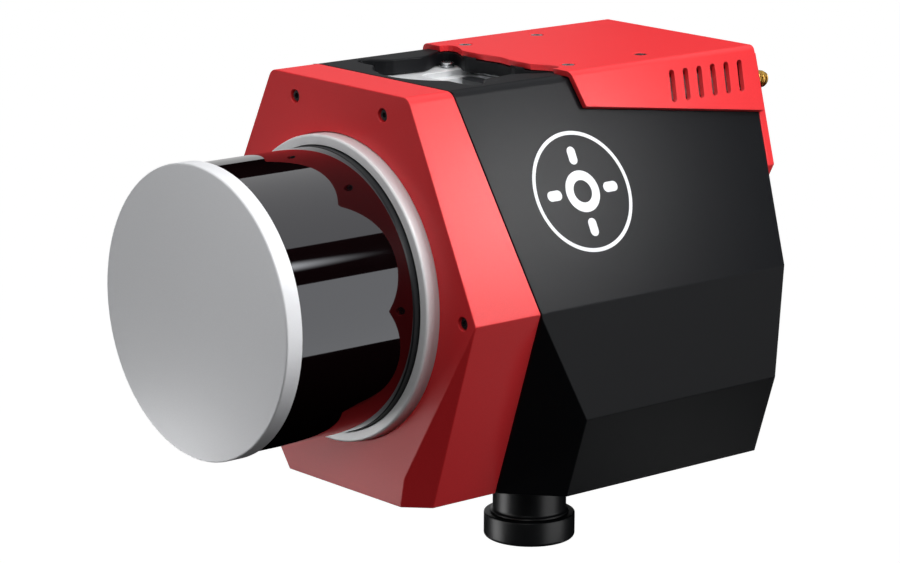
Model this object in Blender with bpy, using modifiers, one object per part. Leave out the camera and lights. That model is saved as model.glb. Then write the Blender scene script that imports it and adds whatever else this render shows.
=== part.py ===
"""Compact mobile laser scanner: a spinning scanning head, a mapping camera and a navigation unit
in one faceted housing that hangs from a quick-release mount on its top.

World frame: origin at the centre of the mount's seat, +Z up, the scanning head looks along -Y.
Sizes below are millimetres in the scanner frame: x to the right, y backwards from the front face,
z upwards from the spin axis.  The empty "scanner_frame" carries that frame, and every part is its child.
"""

import math

import bmesh
import bpy
from mathutils import Matrix, Vector

MM = 0.001
GAP = 0.3                       # clearance between touching pieces

# ---- driving dimensions -------------------------------------------------------------------------
SEAT_Y = 47.0                   # mount centre behind the front face
SEAT_Z = 65.0                   # mount seat above the spin axis

TOP_Z = 70.7                    # housing top
BOTTOM_Z = -72.2                # housing bottom
WAIST_Z = -0.8                  # widest line of the front
KNEE_Z = -40.9                  # where the body side turns inwards
TOP_HALF = 37.0                 # half widths at those heights
WAIST_HALF = 72.0
CHIN_HALF = 38.7                # front housing at the bottom
FOOT_HALF = 57.5                # body at the bottom

SEAM_Y = 28.6                   # seam between red front and black body, at the spin axis height
SEAM_SLOPE = 0.134              # it leans back by this much per millimetre downwards
REAR_Y = 144.2                  # rear face at the waist
REAR_KNEE_Y = 141.0
REAR_FOOT_Y = 146.4
REAR_TOP_SLOPE = 0.205          # rear face leans out above the waist

FRONT_WALL = 9.0
SIDE_WALL = 3.5
BODY_WALL = 3.0
DECK_WALL = 5.4                 # body top wall, rests on the chassis plate

HEAD_RADIUS = 50.3              # scanning head cap
WINDOW_RADIUS = 49.2
WINDOW_WALL = 2.5
CAP_FRONT_Y = -61.3
CAP_BACK_Y = -54.9
BASE_STEP_Y = -7.4              # dark base shows in front of the trim ring by this much
TRIM_FRONT_Y = -5.0
TRIM_RADIUS = 53.2
BASE_RADIUS = 49.3
BASE_BACK_Y = 30.0

COVER_THICK = 2.2
COVER_Z = 70.0                  # underside of the cover's top sheet
COVER_FRONT_Y = 70.0
COVER_REAR_OVERHANG = 0.4
FLAP_FRONT = (44.4, 73.6, 60.3)         # lower corners of the folded side flap
FLAP_REAR = (49.3, 155.6, 50.3)
COVER_SCREWS = [(-27.4, 80.3), (27.4, 80.3), (-27.4, 114.6), (27.4, 114.6)]

OPENING_Y = 47.0                # lobed opening over the mount
OPENING_RADIUS = 24.4
LOBE_RADIUS = 5.2
LOBES = [(-26.8, 36.2), (26.8, 36.2), (-26.2, 70.8), (26.2, 70.8)]

LENS_Y = 88.7                   # mapping camera axis
BARREL_RADIUS = 13.4
RING_RADIUS = 16.6
RING_TOP_Z = -97.0
RING_BOTTOM_Z = -106.2

FRONT_SCREWS = [(-23.7, 63.0), (23.7, 63.0), (-65.4, -0.8), (65.4, -0.8)]

ROUND = 48                      # steps of a large turned piece
SMALL_ROUND = 24


# ---- scene, collections and materials ---------------------------------------------------------------
def clear_scene():
    for obj in list(bpy.data.objects):
        bpy.data.objects.remove(obj, do_unlink=True)


def new_collection(name):
    collection = bpy.data.collections.new(name)
    bpy.context.scene.collection.children.link(collection)
    return collection


def make_material(name, colour, roughness, metallic=0.0):
    material = bpy.data.materials.new(name)
    material.use_nodes = True
    shader = material.node_tree.nodes["Principled BSDF"]
    shader.inputs["Base Color"].default_value = (*colour, 1.0)
    shader.inputs["Roughness"].default_value = roughness
    shader.inputs["Metallic"].default_value = metallic
    return material


clear_scene()
PARTS = new_collection("mobile_laser_scanner")
CUTTERS = new_collection("cutters")

RED = make_material("red_anodised", (0.62, 0.03, 0.04), 0.42)
BLACK = make_material("black_anodised", (0.025, 0.027, 0.03), 0.45)
SILVER = make_material("machined_aluminium", (0.72, 0.73, 0.74), 0.28, 1.0)
GREY = make_material("grey_anodised_cap", (0.36, 0.37, 0.38), 0.5, 0.6)
WINDOW = make_material("infrared_window", (0.01, 0.004, 0.005), 0.06)
DARK = make_material("dark_moulding", (0.03, 0.032, 0.035), 0.5)
STEEL = make_material("screw_steel", (0.55, 0.56, 0.58), 0.3, 1.0)
BOARD = make_material("circuit_board", (0.01, 0.12, 0.06), 0.5)
COPPER = make_material("motor_copper", (0.6, 0.26, 0.12), 0.35, 1.0)
MAGNET = make_material("magnet_black", (0.06, 0.06, 0.065), 0.4, 0.8)
OPTIC = make_material("lens_glass", (0.05, 0.06, 0.09), 0.05)
BRASS = make_material("contact_gold", (0.83, 0.6, 0.25), 0.3, 1.0)
GREEN = make_material("status_lens", (0.1, 0.6, 0.2), 0.3)

FRAME = bpy.data.objects.new("scanner_frame", None)
FRAME.location = Vector((0, -SEAT_Y, -SEAT_Z)) * MM
PARTS.objects.link(FRAME)


# ---- modelling helpers ------------------------------------------------------------------------------
def metres(*values):
    return Vector(values) * MM


def add_part(name, mesh, material, collection=None):
    """Put a mesh, given in metres of the scanner frame, in the model as a child of the frame."""
    obj = bpy.data.objects.new(name, mesh)
    (collection or PARTS).objects.link(obj)
    obj.parent = FRAME
    if material:
        mesh.materials.append(material)
    return obj


def mesh_from(bm, name):
    mesh = bpy.data.meshes.new(name)
    bmesh.ops.recalc_face_normals(bm, faces=bm.faces)
    bm.to_mesh(mesh)
    bm.free()
    return mesh


def evaluated_mesh(obj):
    depsgraph = bpy.context.evaluated_depsgraph_get()
    return bpy.data.meshes.new_from_object(obj.evaluated_get(depsgraph), depsgraph=depsgraph)


def box_mesh(name, low, high):
    """A box between two corners."""
    bm = bmesh.new()
    size = Vector(high) - Vector(low)
    centre = (Vector(high) + Vector(low)) / 2
    placed = Matrix.Translation(centre * MM) @ Matrix.Diagonal((*(size * MM), 1))
    bmesh.ops.create_cube(bm, size=1.0, matrix=placed)
    return mesh_from(bm, name)


AXIS_TURN = {
    "X": Matrix.Rotation(math.radians(90), 4, "Y"),
    "Y": Matrix.Rotation(math.radians(-90), 4, "X"),
    "Z": Matrix.Identity(4),
}


def cylinder_mesh(name, centre, radius, start, end, axis="Z", steps=SMALL_ROUND):
    """A round bar along one axis, from start to end, about centre's other two coordinates."""
    place = list(centre)
    place["XYZ".index(axis)] = (start + end) / 2
    bm = bmesh.new()
    bmesh.ops.create_cone(
        bm, cap_ends=True, segments=steps, radius1=radius * MM, radius2=radius * MM,
        depth=(end - start) * MM, matrix=Matrix.Translation(metres(*place)) @ AXIS_TURN[axis])
    return mesh_from(bm, name)


def turned_mesh(name, profile, centre=(0, 0, 0), axis="Z", steps=ROUND):
    """Turn a profile of (radius, height) points about an axis.

    The profile runs down its outer side.  A profile that starts and ends on the axis is a solid; any
    other profile closes on itself as a ring.
    """
    ring = profile[0][0] > 0
    mesh = bpy.data.meshes.new(name + "_profile")
    points = [(radius * MM, 0, height * MM) for radius, height in profile]
    edges = [(i, i + 1) for i in range(len(points) - 1)]
    if ring:
        edges.append((len(points) - 1, 0))
    mesh.from_pydata(points, edges, [])
    holder = bpy.data.objects.new(name + "_profile", mesh)
    CUTTERS.objects.link(holder)
    screw = holder.modifiers.new("turn", "SCREW")
    screw.steps = steps
    screw.render_steps = steps
    screw.use_merge_vertices = True
    screw.merge_threshold = 0.00001
    solid = evaluated_mesh(holder)
    bpy.data.objects.remove(holder, do_unlink=True)
    solid.name = name
    solid.transform(Matrix.Translation(metres(*centre)) @ AXIS_TURN[axis])
    return solid


def along_y(profile):
    """Turn (radius, y) points, front to back, into the top-to-bottom order of a turned profile."""
    return list(reversed(profile))


def outline_mesh(name, points, low, high, axis):
    """A flat outline pushed from low to high along an axis.

    Points are (x, z) for axis Y, (x, y) for axis Z and (y, z) for axis X.
    """
    curve = bpy.data.curves.new(name + "_outline", "CURVE")
    curve.dimensions = "2D"
    curve.fill_mode = "BOTH"
    curve.extrude = (high - low) / 2 * MM
    spline = curve.splines.new("POLY")
    spline.points.add(len(points) - 1)
    for point, (first, second) in zip(spline.points, points):
        point.co = (first * MM, second * MM, 0, 1)
    spline.use_cyclic_u = True
    holder = bpy.data.objects.new(name + "_outline", curve)
    CUTTERS.objects.link(holder)
    mesh = evaluated_mesh(holder)
    bpy.data.objects.remove(holder, do_unlink=True)
    middle = (high + low) / 2 * MM
    yz_to_x = Matrix(((0, 0, 1, 0), (1, 0, 0, 0), (0, 1, 0, 0), (0, 0, 0, 1)))
    turns = {
        "Y": Matrix.Translation((0, middle, 0)) @ Matrix.Rotation(math.radians(90), 4, "X"),
        "Z": Matrix.Translation((0, 0, middle)),
        "X": Matrix.Translation((middle, 0, 0)) @ yz_to_x,
    }
    mesh.transform(turns[axis])
    bm = bmesh.new()
    bm.from_mesh(mesh)
    bmesh.ops.remove_doubles(bm, verts=bm.verts, dist=0.000002)
    bmesh.ops.recalc_face_normals(bm, faces=bm.faces)
    bm.to_mesh(mesh)
    bm.free()
    mesh.name = name
    return mesh


def slice_off(mesh, point, normal):
    """Cut a solid with a plane and throw away what lies on the normal's side."""
    bm = bmesh.new()
    bm.from_mesh(mesh)
    result = bmesh.ops.bisect_plane(
        bm, geom=bm.verts[:] + bm.edges[:] + bm.faces[:], dist=1e-7,
        plane_co=metres(*point), plane_no=Vector(normal).normalized(), clear_outer=True)
    rim = [item for item in result["geom_cut"] if isinstance(item, bmesh.types.BMEdge)]
    bmesh.ops.contextual_create(bm, geom=rim)
    bmesh.ops.recalc_face_normals(bm, faces=bm.faces)
    bm.to_mesh(mesh)
    bm.free()


def boolean(target, mesh, operation):
    """Cut, join or intersect a part with a helper solid, and keep the result in its mesh."""
    helper = add_part(target.name + "_helper", mesh, None, CUTTERS)
    helper.hide_render = True
    helper.display_type = "WIRE"
    modifier = target.modifiers.new(operation.lower(), "BOOLEAN")
    modifier.operation = operation
    modifier.object = helper
    result = evaluated_mesh(target)
    target.modifiers.clear()
    name = target.data.name
    target.data = result
    result.name = name
    bpy.data.objects.remove(helper, do_unlink=True)


def cut(target, *meshes):
    for mesh in meshes:
        boolean(target, mesh, "DIFFERENCE")


def join(target, *meshes):
    for mesh in meshes:
        boolean(target, mesh, "UNION")


def smooth(obj, angle=35):
    obj.data.shade_smooth()
    obj.data.set_sharp_from_angle(angle=math.radians(angle))


def set_pivot(obj, pivot):
    """Move an object's own origin to a point of its joint's axis without moving its shape."""
    offset = metres(*pivot)
    obj.data.transform(Matrix.Translation(-offset))
    obj.location = offset


def mirrored(outline):
    """Close a right-hand outline, listed from top to bottom, with its mirror image."""
    return outline + [(-first, second) for first, second in reversed(outline)]


def box(name, low, high, material):
    return add_part(name, box_mesh(name, low, high), material)


def cylinder(name, centre, radius, start, end, material, axis="Z", steps=SMALL_ROUND):
    obj = add_part(name, cylinder_mesh(name, centre, radius, start, end, axis, steps), material)
    smooth(obj)
    return obj


def turned(name, profile, material, centre=(0, 0, 0), axis="Z", steps=ROUND):
    obj = add_part(name, turned_mesh(name, profile, centre, axis, steps), material)
    smooth(obj)
    return obj


# ---- planes of the faceted housing ------------------------------------------------------------------
UPPER_SIDE = Vector((TOP_Z - WAIST_Z, 0, WAIST_HALF - TOP_HALF)).normalized()   # right-hand facet
SEAM = Vector((0, 1, SEAM_SLOPE)).normalized()
REAR_UPPER = Vector((0, 1, -REAR_TOP_SLOPE)).normalized()


def plane_through(first, second, third, inside):
    """Outward normal of the plane through three points, away from an inside point."""
    first, second, third = Vector(first), Vector(second), Vector(third)
    normal = (second - first).cross(third - first).normalized()
    return -normal if normal.dot(Vector(inside) - first) > 0 else normal


def seam_y(z):
    return SEAM_Y - SEAM_SLOPE * z


def rear_y(z):
    return REAR_Y + REAR_TOP_SLOPE * max(z, 0)


CHEEK_POINT = (WAIST_HALF, 0, WAIST_Z)          # front lower corner facet of the red housing
CHEEK = plane_through(CHEEK_POINT, (35.6, 0, -60.4), (38.8, 10.2, BOTTOM_Z), (0, 20, 0))
CHIN_POINT = (0, 0, -60.4)                      # the chin leans back below this height
CHIN = plane_through(CHIN_POINT, (30, 0, -60.4), (0, 2.3, BOTTOM_Z), (0, 20, 0))
JOWL_POINT = (WAIST_HALF, seam_y(WAIST_Z), WAIST_Z)     # lower front facet of the black body
JOWL_CHIN = (CHIN_HALF, seam_y(BOTTOM_Z), BOTTOM_Z)
JOWL = plane_through(JOWL_POINT, JOWL_CHIN, (FOOT_HALF, 54.6, BOTTOM_Z), (0, 90, 0))


def slice_both(mesh, point, normal, inset=0.0):
    """Slice a facet off the right and left of a solid, moved inwards by an inset."""
    for sign in (1, -1):
        facet = Vector((sign * normal[0], normal[1], normal[2]))
        place = Vector((sign * point[0], point[1], point[2])) - facet * inset
        slice_off(mesh, place, facet)


def inset_outline(half_outline, inset):
    """Move a right-hand outline inwards by an equal wall thickness; its first and last points lie on
    the level top and bottom edges."""
    points = [Vector(point) for point in half_outline]
    lines = [(Vector((0, points[0].y)), points[0])]
    lines += [(points[i], points[i + 1]) for i in range(len(points) - 1)]
    lines.append((points[-1], Vector((0, points[-1].y))))
    moved = []
    for start, end in lines:
        along = (end - start).normalized()
        inwards = Vector((along.y, -along.x)) * inset
        moved.append((start + inwards, along))
    corners = []
    for (start_a, along_a), (start_b, along_b) in zip(moved, moved[1:]):
        offset = start_b - start_a
        cross = along_a.x * along_b.y - along_a.y * along_b.x
        reach = (offset.x * along_b.y - offset.y * along_b.x) / cross
        corners.append(tuple(start_a + along_a * reach))
    return corners


# ---- housing ----------------------------------------------------------------------------------------
FRONT_OUTLINE = [(TOP_HALF, TOP_Z), (WAIST_HALF, WAIST_Z), (CHIN_HALF, BOTTOM_Z)]
BODY_OUTLINE = [(TOP_HALF, TOP_Z), (WAIST_HALF, WAIST_Z), (WAIST_HALF, KNEE_Z), (FOOT_HALF, BOTTOM_Z)]


def opening_mesh(name, low, high, clearance=0.0):
    """The lobed opening over the mount: a disc and four finger lobes, as one upright solid."""
    steps = 40
    outline = add_part(name, cylinder_mesh(
        name, (0, OPENING_Y, 0), OPENING_RADIUS + clearance, low, high, "Z", steps), None, CUTTERS)
    half = OPENING_RADIUS - 1 + clearance
    join(outline, box_mesh("sides", (-half, OPENING_Y - 6, low), (half, OPENING_Y + 17, high)))
    for x, y in LOBES:
        join(outline, cylinder_mesh("lobe", (x, y, 0), LOBE_RADIUS + clearance, low, high, "Z", 20))
    mesh = outline.data
    bpy.data.objects.remove(outline, do_unlink=True)
    return mesh


def front_housing():
    """Red front: a thick plate with the scanning head's hole, folded back to the seam."""
    mesh = outline_mesh("front_housing", mirrored(FRONT_OUTLINE), 0, 45, "Y")
    slice_off(mesh, (0, SEAM_Y, 0), SEAM)
    slice_both(mesh, CHEEK_POINT, CHEEK)
    slice_off(mesh, CHIN_POINT, CHIN)
    housing = add_part("front_housing", mesh, RED)
    inner = mirrored(inset_outline(FRONT_OUTLINE, SIDE_WALL))
    cut(housing, outline_mesh("hollow", inner, FRONT_WALL, 60, "Y"))
    cut(housing, cylinder_mesh("head_hole", (0, 0, 0), TRIM_RADIUS + GAP, -5, FRONT_WALL + 5, "Y", ROUND))
    for x, z in FRONT_SCREWS:
        stepped = [(0, -2), (2.3, -2), (2.3, 6), (1.3, 6), (1.3, 14), (0, 14)]
        cut(housing, turned_mesh("counterbore", along_y(stepped), (x, 0, z), "Y", 16))
    return housing


def body_shell():
    """Black body: a faceted tube, closed at the rear, open to the front housing."""
    rear = [(REAR_FOOT_Y, BOTTOM_Z - 1), (REAR_KNEE_Y, KNEE_Z), (REAR_Y, WAIST_Z)]
    rear.append((rear_y(TOP_Z + 1), TOP_Z + 1))
    seam = [(seam_y(TOP_Z + 1) + GAP, TOP_Z + 1), (seam_y(BOTTOM_Z - 1) + GAP, BOTTOM_Z - 1)]
    tube = outline_mesh("body_shell", mirrored(BODY_OUTLINE), 10, 170, "Y")
    shell = add_part("body_shell", tube, BLACK)
    boolean(shell, outline_mesh("side_view", rear + seam, -80, 80, "X"), "INTERSECT")
    slice_both(shell.data, JOWL_POINT, JOWL, -GAP * 0.5)

    inner = inset_outline(BODY_OUTLINE, BODY_WALL)
    inner[0] = (inner[0][0] - 1.2, TOP_Z - DECK_WALL)
    hollow = add_part("hollow", outline_mesh("hollow", mirrored(inner), 0, 170, "Y"), None, CUTTERS)
    rear_inner = [(y - BODY_WALL, z) for y, z in rear] + [(-5, TOP_Z), (-5, BOTTOM_Z)]
    boolean(hollow, outline_mesh("side_view", rear_inner, -80, 80, "X"), "INTERSECT")
    slice_both(hollow.data, JOWL_POINT, JOWL, BODY_WALL)
    cut(shell, hollow.data.copy())
    bpy.data.objects.remove(hollow, do_unlink=True)

    cut(shell, opening_mesh("opening", 55, 80))
    cut(shell, box_mesh("cover_recess", (-60, COVER_FRONT_Y - GAP, COVER_Z - GAP), (60, 180, 80)))
    cut(shell, cylinder_mesh("lens_hole", (0, LENS_Y, 0), BARREL_RADIUS + GAP, -80, -60, "Z", ROUND // 2))
    for x, y in COVER_SCREWS:
        cut(shell, cylinder_mesh("screw_hole", (x, y, 0), 1.3, 50, 80, "Z", 12))
    for side in (-1, 1):
        cut(shell, vent_slab("vent_window", side, 4.0, -6.0, 1.5, margin=0.0))
    for x, z, radius in REAR_PORTS:
        cut(shell, port_hole(x, z, radius))
    return shell


REAR_PANEL_THICK = 3.2
# x, z and radius of the two coaxial jacks, the power and data ports, the button and the light
REAR_PORTS = [(-34.5, 60.0, 3.2), (34.5, 60.0, 3.2), (-22.0, 38.0, 6.5), (22.0, 38.0, 6.5),
              (0.0, 60.0, 4.4), (0.0, 45.0, 1.6)]


def panel_matrix(x, z):
    """Axes of the rear panel's outer face at a point: x across it, y out of it."""
    y = REAR_Y + REAR_TOP_SLOPE * z + (GAP + REAR_PANEL_THICK) / REAR_UPPER.y
    lean = -math.atan(REAR_TOP_SLOPE)
    return Matrix.Translation(metres(x, y, z)) @ Matrix.Rotation(lean, 4, "X")


def port_hole(x, z, radius):
    """Bore through the rear panel and the wall behind it, square to the panel."""
    mesh = cylinder_mesh("port_hole", (0, 0, 0), radius + GAP, -20, 8, "Y", 20)
    mesh.transform(panel_matrix(x, z))
    return mesh


# The vents lie on the upper side facets, under the cover's flaps.
VENT_Y = (112.0, 152.0)
VENT_Z = (56.6, 67.0)
SLOT_COUNT = 6
SLOT_WIDTH = 2.4


def facet_matrix(side):
    """Axes of an upper side facet: across it outwards, along the body, and up its slope."""
    outward = Vector((side * UPPER_SIDE.x, 0, UPPER_SIDE.z))
    along = Vector((0, 1, 0))
    upslope = Vector((-side * UPPER_SIDE.z, 0, UPPER_SIDE.x))
    turn = Matrix((outward, along, upslope)).transposed().to_4x4()
    corner = Vector((side * TOP_HALF, 0, TOP_Z)) * MM
    return Matrix.Translation(corner) @ turn


def slope_length(z):
    """Distance down the facet from its top edge to a height."""
    return (z - TOP_Z) / UPPER_SIDE.x


def vent_slab(name, side, out, inwards, shrink, margin):
    """A slab across a facet over the vent area, from inwards to out of the facet's surface."""
    low = (inwards, VENT_Y[0] + shrink - margin, slope_length(VENT_Z[0]) + shrink - margin)
    high = (out, VENT_Y[1] - shrink + margin, slope_length(VENT_Z[1]) - shrink + margin)
    mesh = box_mesh(name, low, high)
    mesh.transform(facet_matrix(side))
    if side < 0:
        mesh.flip_normals()
    return mesh


def vent_slots(side):
    """Slanted round-ended slots through a flap of the cover."""
    pitch = (VENT_Y[1] - VENT_Y[0]) / SLOT_COUNT
    middle = slope_length((VENT_Z[0] + VENT_Z[1]) / 2)
    half = slope_length(VENT_Z[1]) - middle - SLOT_WIDTH / 2
    slots = []
    for index in range(SLOT_COUNT):
        centre_y = VENT_Y[0] + pitch * (index + 0.5)
        arc = [math.pi * step / 6 for step in range(7)]
        upper = [(centre_y + SLOT_WIDTH / 2 * math.cos(a), half + SLOT_WIDTH / 2 * math.sin(a))
                 for a in arc]
        lower = [(2 * centre_y - y, -z) for y, z in upper]
        slant = [(y + 0.25 * z, z + middle) for y, z in upper + lower]
        mesh = outline_mesh("slot", slant, -2, 6, "X")
        mesh.transform(facet_matrix(side))
        if side < 0:
            mesh.flip_normals()
        slots.append(mesh)
    return slots


def top_cover():
    """Red sheet cover over the rear of the top, with a flap folded down each side."""
    crown = COVER_Z + COVER_THICK
    drop = 30.0
    slope = (WAIST_HALF - TOP_HALF) / (TOP_Z - WAIST_Z)

    def side_x(z, outwards):
        return TOP_HALF + (TOP_Z - z) * slope + outwards / UPPER_SIDE.x

    outward = GAP + COVER_THICK
    outer = [(side_x(crown, outward) - 2.2, crown), (side_x(crown - 0.9, outward), crown - 0.9)]
    outer.append((side_x(crown - 1.9, outward), crown - 1.9))
    outer.append((side_x(TOP_Z - drop, outward), TOP_Z - drop))
    inner = [(side_x(TOP_Z - drop, GAP), TOP_Z - drop), (side_x(COVER_Z, GAP), COVER_Z)]
    section = outer + inner
    section += [(-x, z) for x, z in reversed(section)]
    cover = add_part("top_cover", outline_mesh("top_cover", section, COVER_FRONT_Y, 175, "Y"), RED)
    slice_off(cover.data, (0, REAR_Y + COVER_REAR_OVERHANG, 0), REAR_UPPER)
    edge = Vector(FLAP_REAR) - Vector(FLAP_FRONT)
    under = edge.cross(UPPER_SIDE).normalized()
    under = under if under.z < 0 else -under
    slice_both(cover.data, FLAP_FRONT, under)
    lip = plane_through((40, 71.0, 72), (44.4, 73.6, 60.3), (30, 71.0, 72), (0, 100, 60))
    slice_off(cover.data, (40, 70.6, 72), lip)
    cut(cover, opening_mesh("opening", 60, 80, 0.4))
    for x, y in COVER_SCREWS:
        cut(cover, turned_mesh("countersink", [(0, 1), (3.8, 1), (1.5, -1.3), (1.5, -4), (0, -4)],
                               (x, y, crown), "Z", 20))
    for side in (-1, 1):
        cut(cover, *vent_slots(side))
    return cover


def rear_panel():
    """Red connector panel on the leaning upper rear face."""
    def side_x(z):
        return TOP_HALF + (TOP_Z - z) * (WAIST_HALF - TOP_HALF) / (TOP_Z - WAIST_Z)

    outline = [(side_x(69.0), 69.0), (side_x(32.0), 32.0), (50.0, 16.0)]
    panel = add_part("rear_panel", outline_mesh("rear_panel", mirrored(outline), 130, 190, "Y"), RED)
    slice_off(panel.data, (0, REAR_Y + GAP + REAR_PANEL_THICK, 0), REAR_UPPER)
    slice_off(panel.data, (0, REAR_Y + GAP, 0), -REAR_UPPER)
    for x, z, radius in REAR_PORTS:
        cut(panel, port_hole(x, z, radius))
    return panel


# ---- chassis and mount ------------------------------------------------------------------------------
CHASSIS_TOP = SEAT_Z
CHASSIS_THICK = 6.0
LATCH_Y = 66.5
LATCH_TRAVEL = 3.0


def chassis_plate():
    """Machined spine: it carries the mount seat, the head and the camera."""
    low = CHASSIS_TOP - CHASSIS_THICK
    plate = box("chassis_plate", (-33, 27.5, low), (33, 132, CHASSIS_TOP), SILVER)
    cut(plate, box_mesh("front_step", (-19, 29.5, CHASSIS_TOP - 2), (19, 41.5, CHASSIS_TOP + 1)))
    cut(plate, box_mesh("front_pocket", (-15, 32.5, low + 1.2), (15, 41.5, CHASSIS_TOP + 1)))
    cut(plate, box_mesh("rear_step", (-20, 52.5, CHASSIS_TOP - 2), (20, 77, CHASSIS_TOP + 1)))
    cut(plate, box_mesh("rear_pocket", (-16, 52.5, low + 1.2), (16, 77, CHASSIS_TOP + 1)))
    for x in (-24.0, 0.0, 24.0):
        cut(plate, box_mesh("relief", (x - 9, 84, low - 1), (x + 9, 126, low + 4.2)))
    for x, y in LOBES:
        cut(plate, cylinder_mesh("tapped", (x, y, 0), 1.3, low - 1, CHASSIS_TOP + 1, "Z", 12))
    for x, y in COVER_SCREWS:
        cut(plate, cylinder_mesh("tapped", (x, y, 0), 1.3, low - 1, CHASSIS_TOP + 1, "Z", 12))
    return plate


def mount_contacts():
    """Spring-contact block of the quick-release mount, with two rows of pins."""
    floor = CHASSIS_TOP - CHASSIS_THICK + 1.2 + GAP
    block = box("mount_contacts", (-10, 34.0, floor), (10, 39.5, floor + 3.4), DARK)
    for row in (35.6, 37.9):
        for column in range(8):
            pin = (-7.7 + 2.2 * column, row, 0)
            join(block, cylinder_mesh("pin", pin, 0.55, floor + 2.4, floor + 4.3, "Z", 6))
    return block


def release_latch():
    """Sliding latch bar behind the seat, with a rounded nose and a spring pocket."""
    floor = CHASSIS_TOP - CHASSIS_THICK + 1.2 + GAP
    low = (-8.5, LATCH_Y - 3, floor)
    latch = box("release_latch", low, (8.5, LATCH_Y + 3, floor + 3.6), DARK)
    join(latch, cylinder_mesh("nose", (-8.5, LATCH_Y, 0), 3.0, floor, floor + 3.6, "Z", 20))
    join(latch, cylinder_mesh("nose", (8.5, LATCH_Y, 0), 3.0, floor, floor + 3.6, "Z", 20))
    set_pivot(latch, (0, LATCH_Y, floor + 1.8))
    smooth(latch)
    return latch


def latch_spring():
    """Return spring of the latch, as the sleeve that its coils fill."""
    height = CHASSIS_TOP - CHASSIS_THICK + 1.2 + GAP + 1.8
    start = LATCH_Y + 3 + LATCH_TRAVEL + 0.2
    ring = [(1.5, 76.7 - start), (1.5, 0), (0.8, 0), (0.8, 76.7 - start)]
    return turned("latch_spring", ring, STEEL, (0, start, height), "Y", 16)


def chassis_screws():
    for index, (x, y) in enumerate(LOBES, 1):
        seat = GAP * 0.7
        head = [(0, 1.9), (2.0, 1.9), (2.6, 1.3), (2.6, seat), (1.0, seat), (1.0, -5.0), (0, -5.0)]
        turned("chassis_screw_%d" % index, head, STEEL, (x, y, CHASSIS_TOP), "Z", 16)


def cover_screws():
    crown = COVER_Z + COVER_THICK
    for index, (x, y) in enumerate(COVER_SCREWS, 1):
        head = [(0, -0.1), (2.3, -0.1), (2.3, -0.35), (1.1, -1.55), (1.1, -11.0), (0, -11.0)]
        turned("cover_screw_%d" % index, head, STEEL, (x, y, crown), "Z", 16)


def front_screws():
    for index, (x, z) in enumerate(FRONT_SCREWS, 1):
        head = [(0, 3.2), (1.9, 3.2), (1.9, 5.7), (1.0, 5.7), (1.0, 13.0), (0, 13.0)]
        turned("front_screw_%d" % index, along_y(head), STEEL, (x, 0, z), "Y", 16)


# ---- scanning head ----------------------------------------------------------------------------------
def head_static():
    """Base, trim ring, window and cap: the parts of the head that stand still."""
    base = [(BASE_RADIUS, BASE_STEP_Y), (BASE_RADIUS, BASE_BACK_Y), (8.3, BASE_BACK_Y), (8.3, 2.0),
            (10.8, 2.0), (10.8, BASE_BACK_Y - 4), (45.5, BASE_BACK_Y - 4), (45.5, BASE_STEP_Y)]
    turned("head_base", along_y(base), DARK, axis="Y")
    inner = BASE_RADIUS + GAP
    trim = [(51.6, TRIM_FRONT_Y), (52.5, -4.5), (53.0, -3.4), (TRIM_RADIUS, -2.0), (TRIM_RADIUS, 6.0),
            (inner, 6.0), (inner, TRIM_FRONT_Y)]
    turned("head_trim_ring", along_y(trim), SILVER, axis="Y")
    wall = WINDOW_RADIUS - WINDOW_WALL
    pane = [(WINDOW_RADIUS, CAP_BACK_Y + GAP), (WINDOW_RADIUS, BASE_STEP_Y - GAP),
            (wall, BASE_STEP_Y - GAP), (wall, CAP_BACK_Y + GAP)]
    turned("head_window", along_y(pane), WINDOW, axis="Y")
    cap = [(0, CAP_FRONT_Y), (49.9, CAP_FRONT_Y), (HEAD_RADIUS, CAP_FRONT_Y + 0.5),
           (HEAD_RADIUS, CAP_BACK_Y), (wall - 2, CAP_BACK_Y), (wall - 2, CAP_BACK_Y - 2.5),
           (0, CAP_BACK_Y - 2.5)]
    turned("head_cap", along_y(cap), GREY, axis="Y")


def head_drive():
    """Motor and bearings in the base."""
    for name, start in (("bearing_front", 5.0), ("bearing_rear", 20.0)):
        race = [(8.0, start), (8.0, start + 6), (4.4, start + 6), (4.4, start)]
        turned(name, along_y(race), STEEL, axis="Y", steps=32)
    coils = [(20.0, 5.0), (20.0, 21.0), (11.2, 21.0), (11.2, 5.0)]
    turned("motor_stator", along_y(coils), COPPER, axis="Y", steps=32)
    ring = [(25.0, 3.0), (25.0, 21.0), (21.0, 21.0), (21.0, 3.0)]
    magnets = turned("motor_magnets", along_y(ring), MAGNET, axis="Y", steps=32)
    bar = [(0, -11.0), (4.0, -11.0), (4.0, 28.5), (0, 28.5)]
    shaft = turned("rotor_shaft", along_y(bar), STEEL, axis="Y", steps=24)
    return [magnets, shaft]


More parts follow.
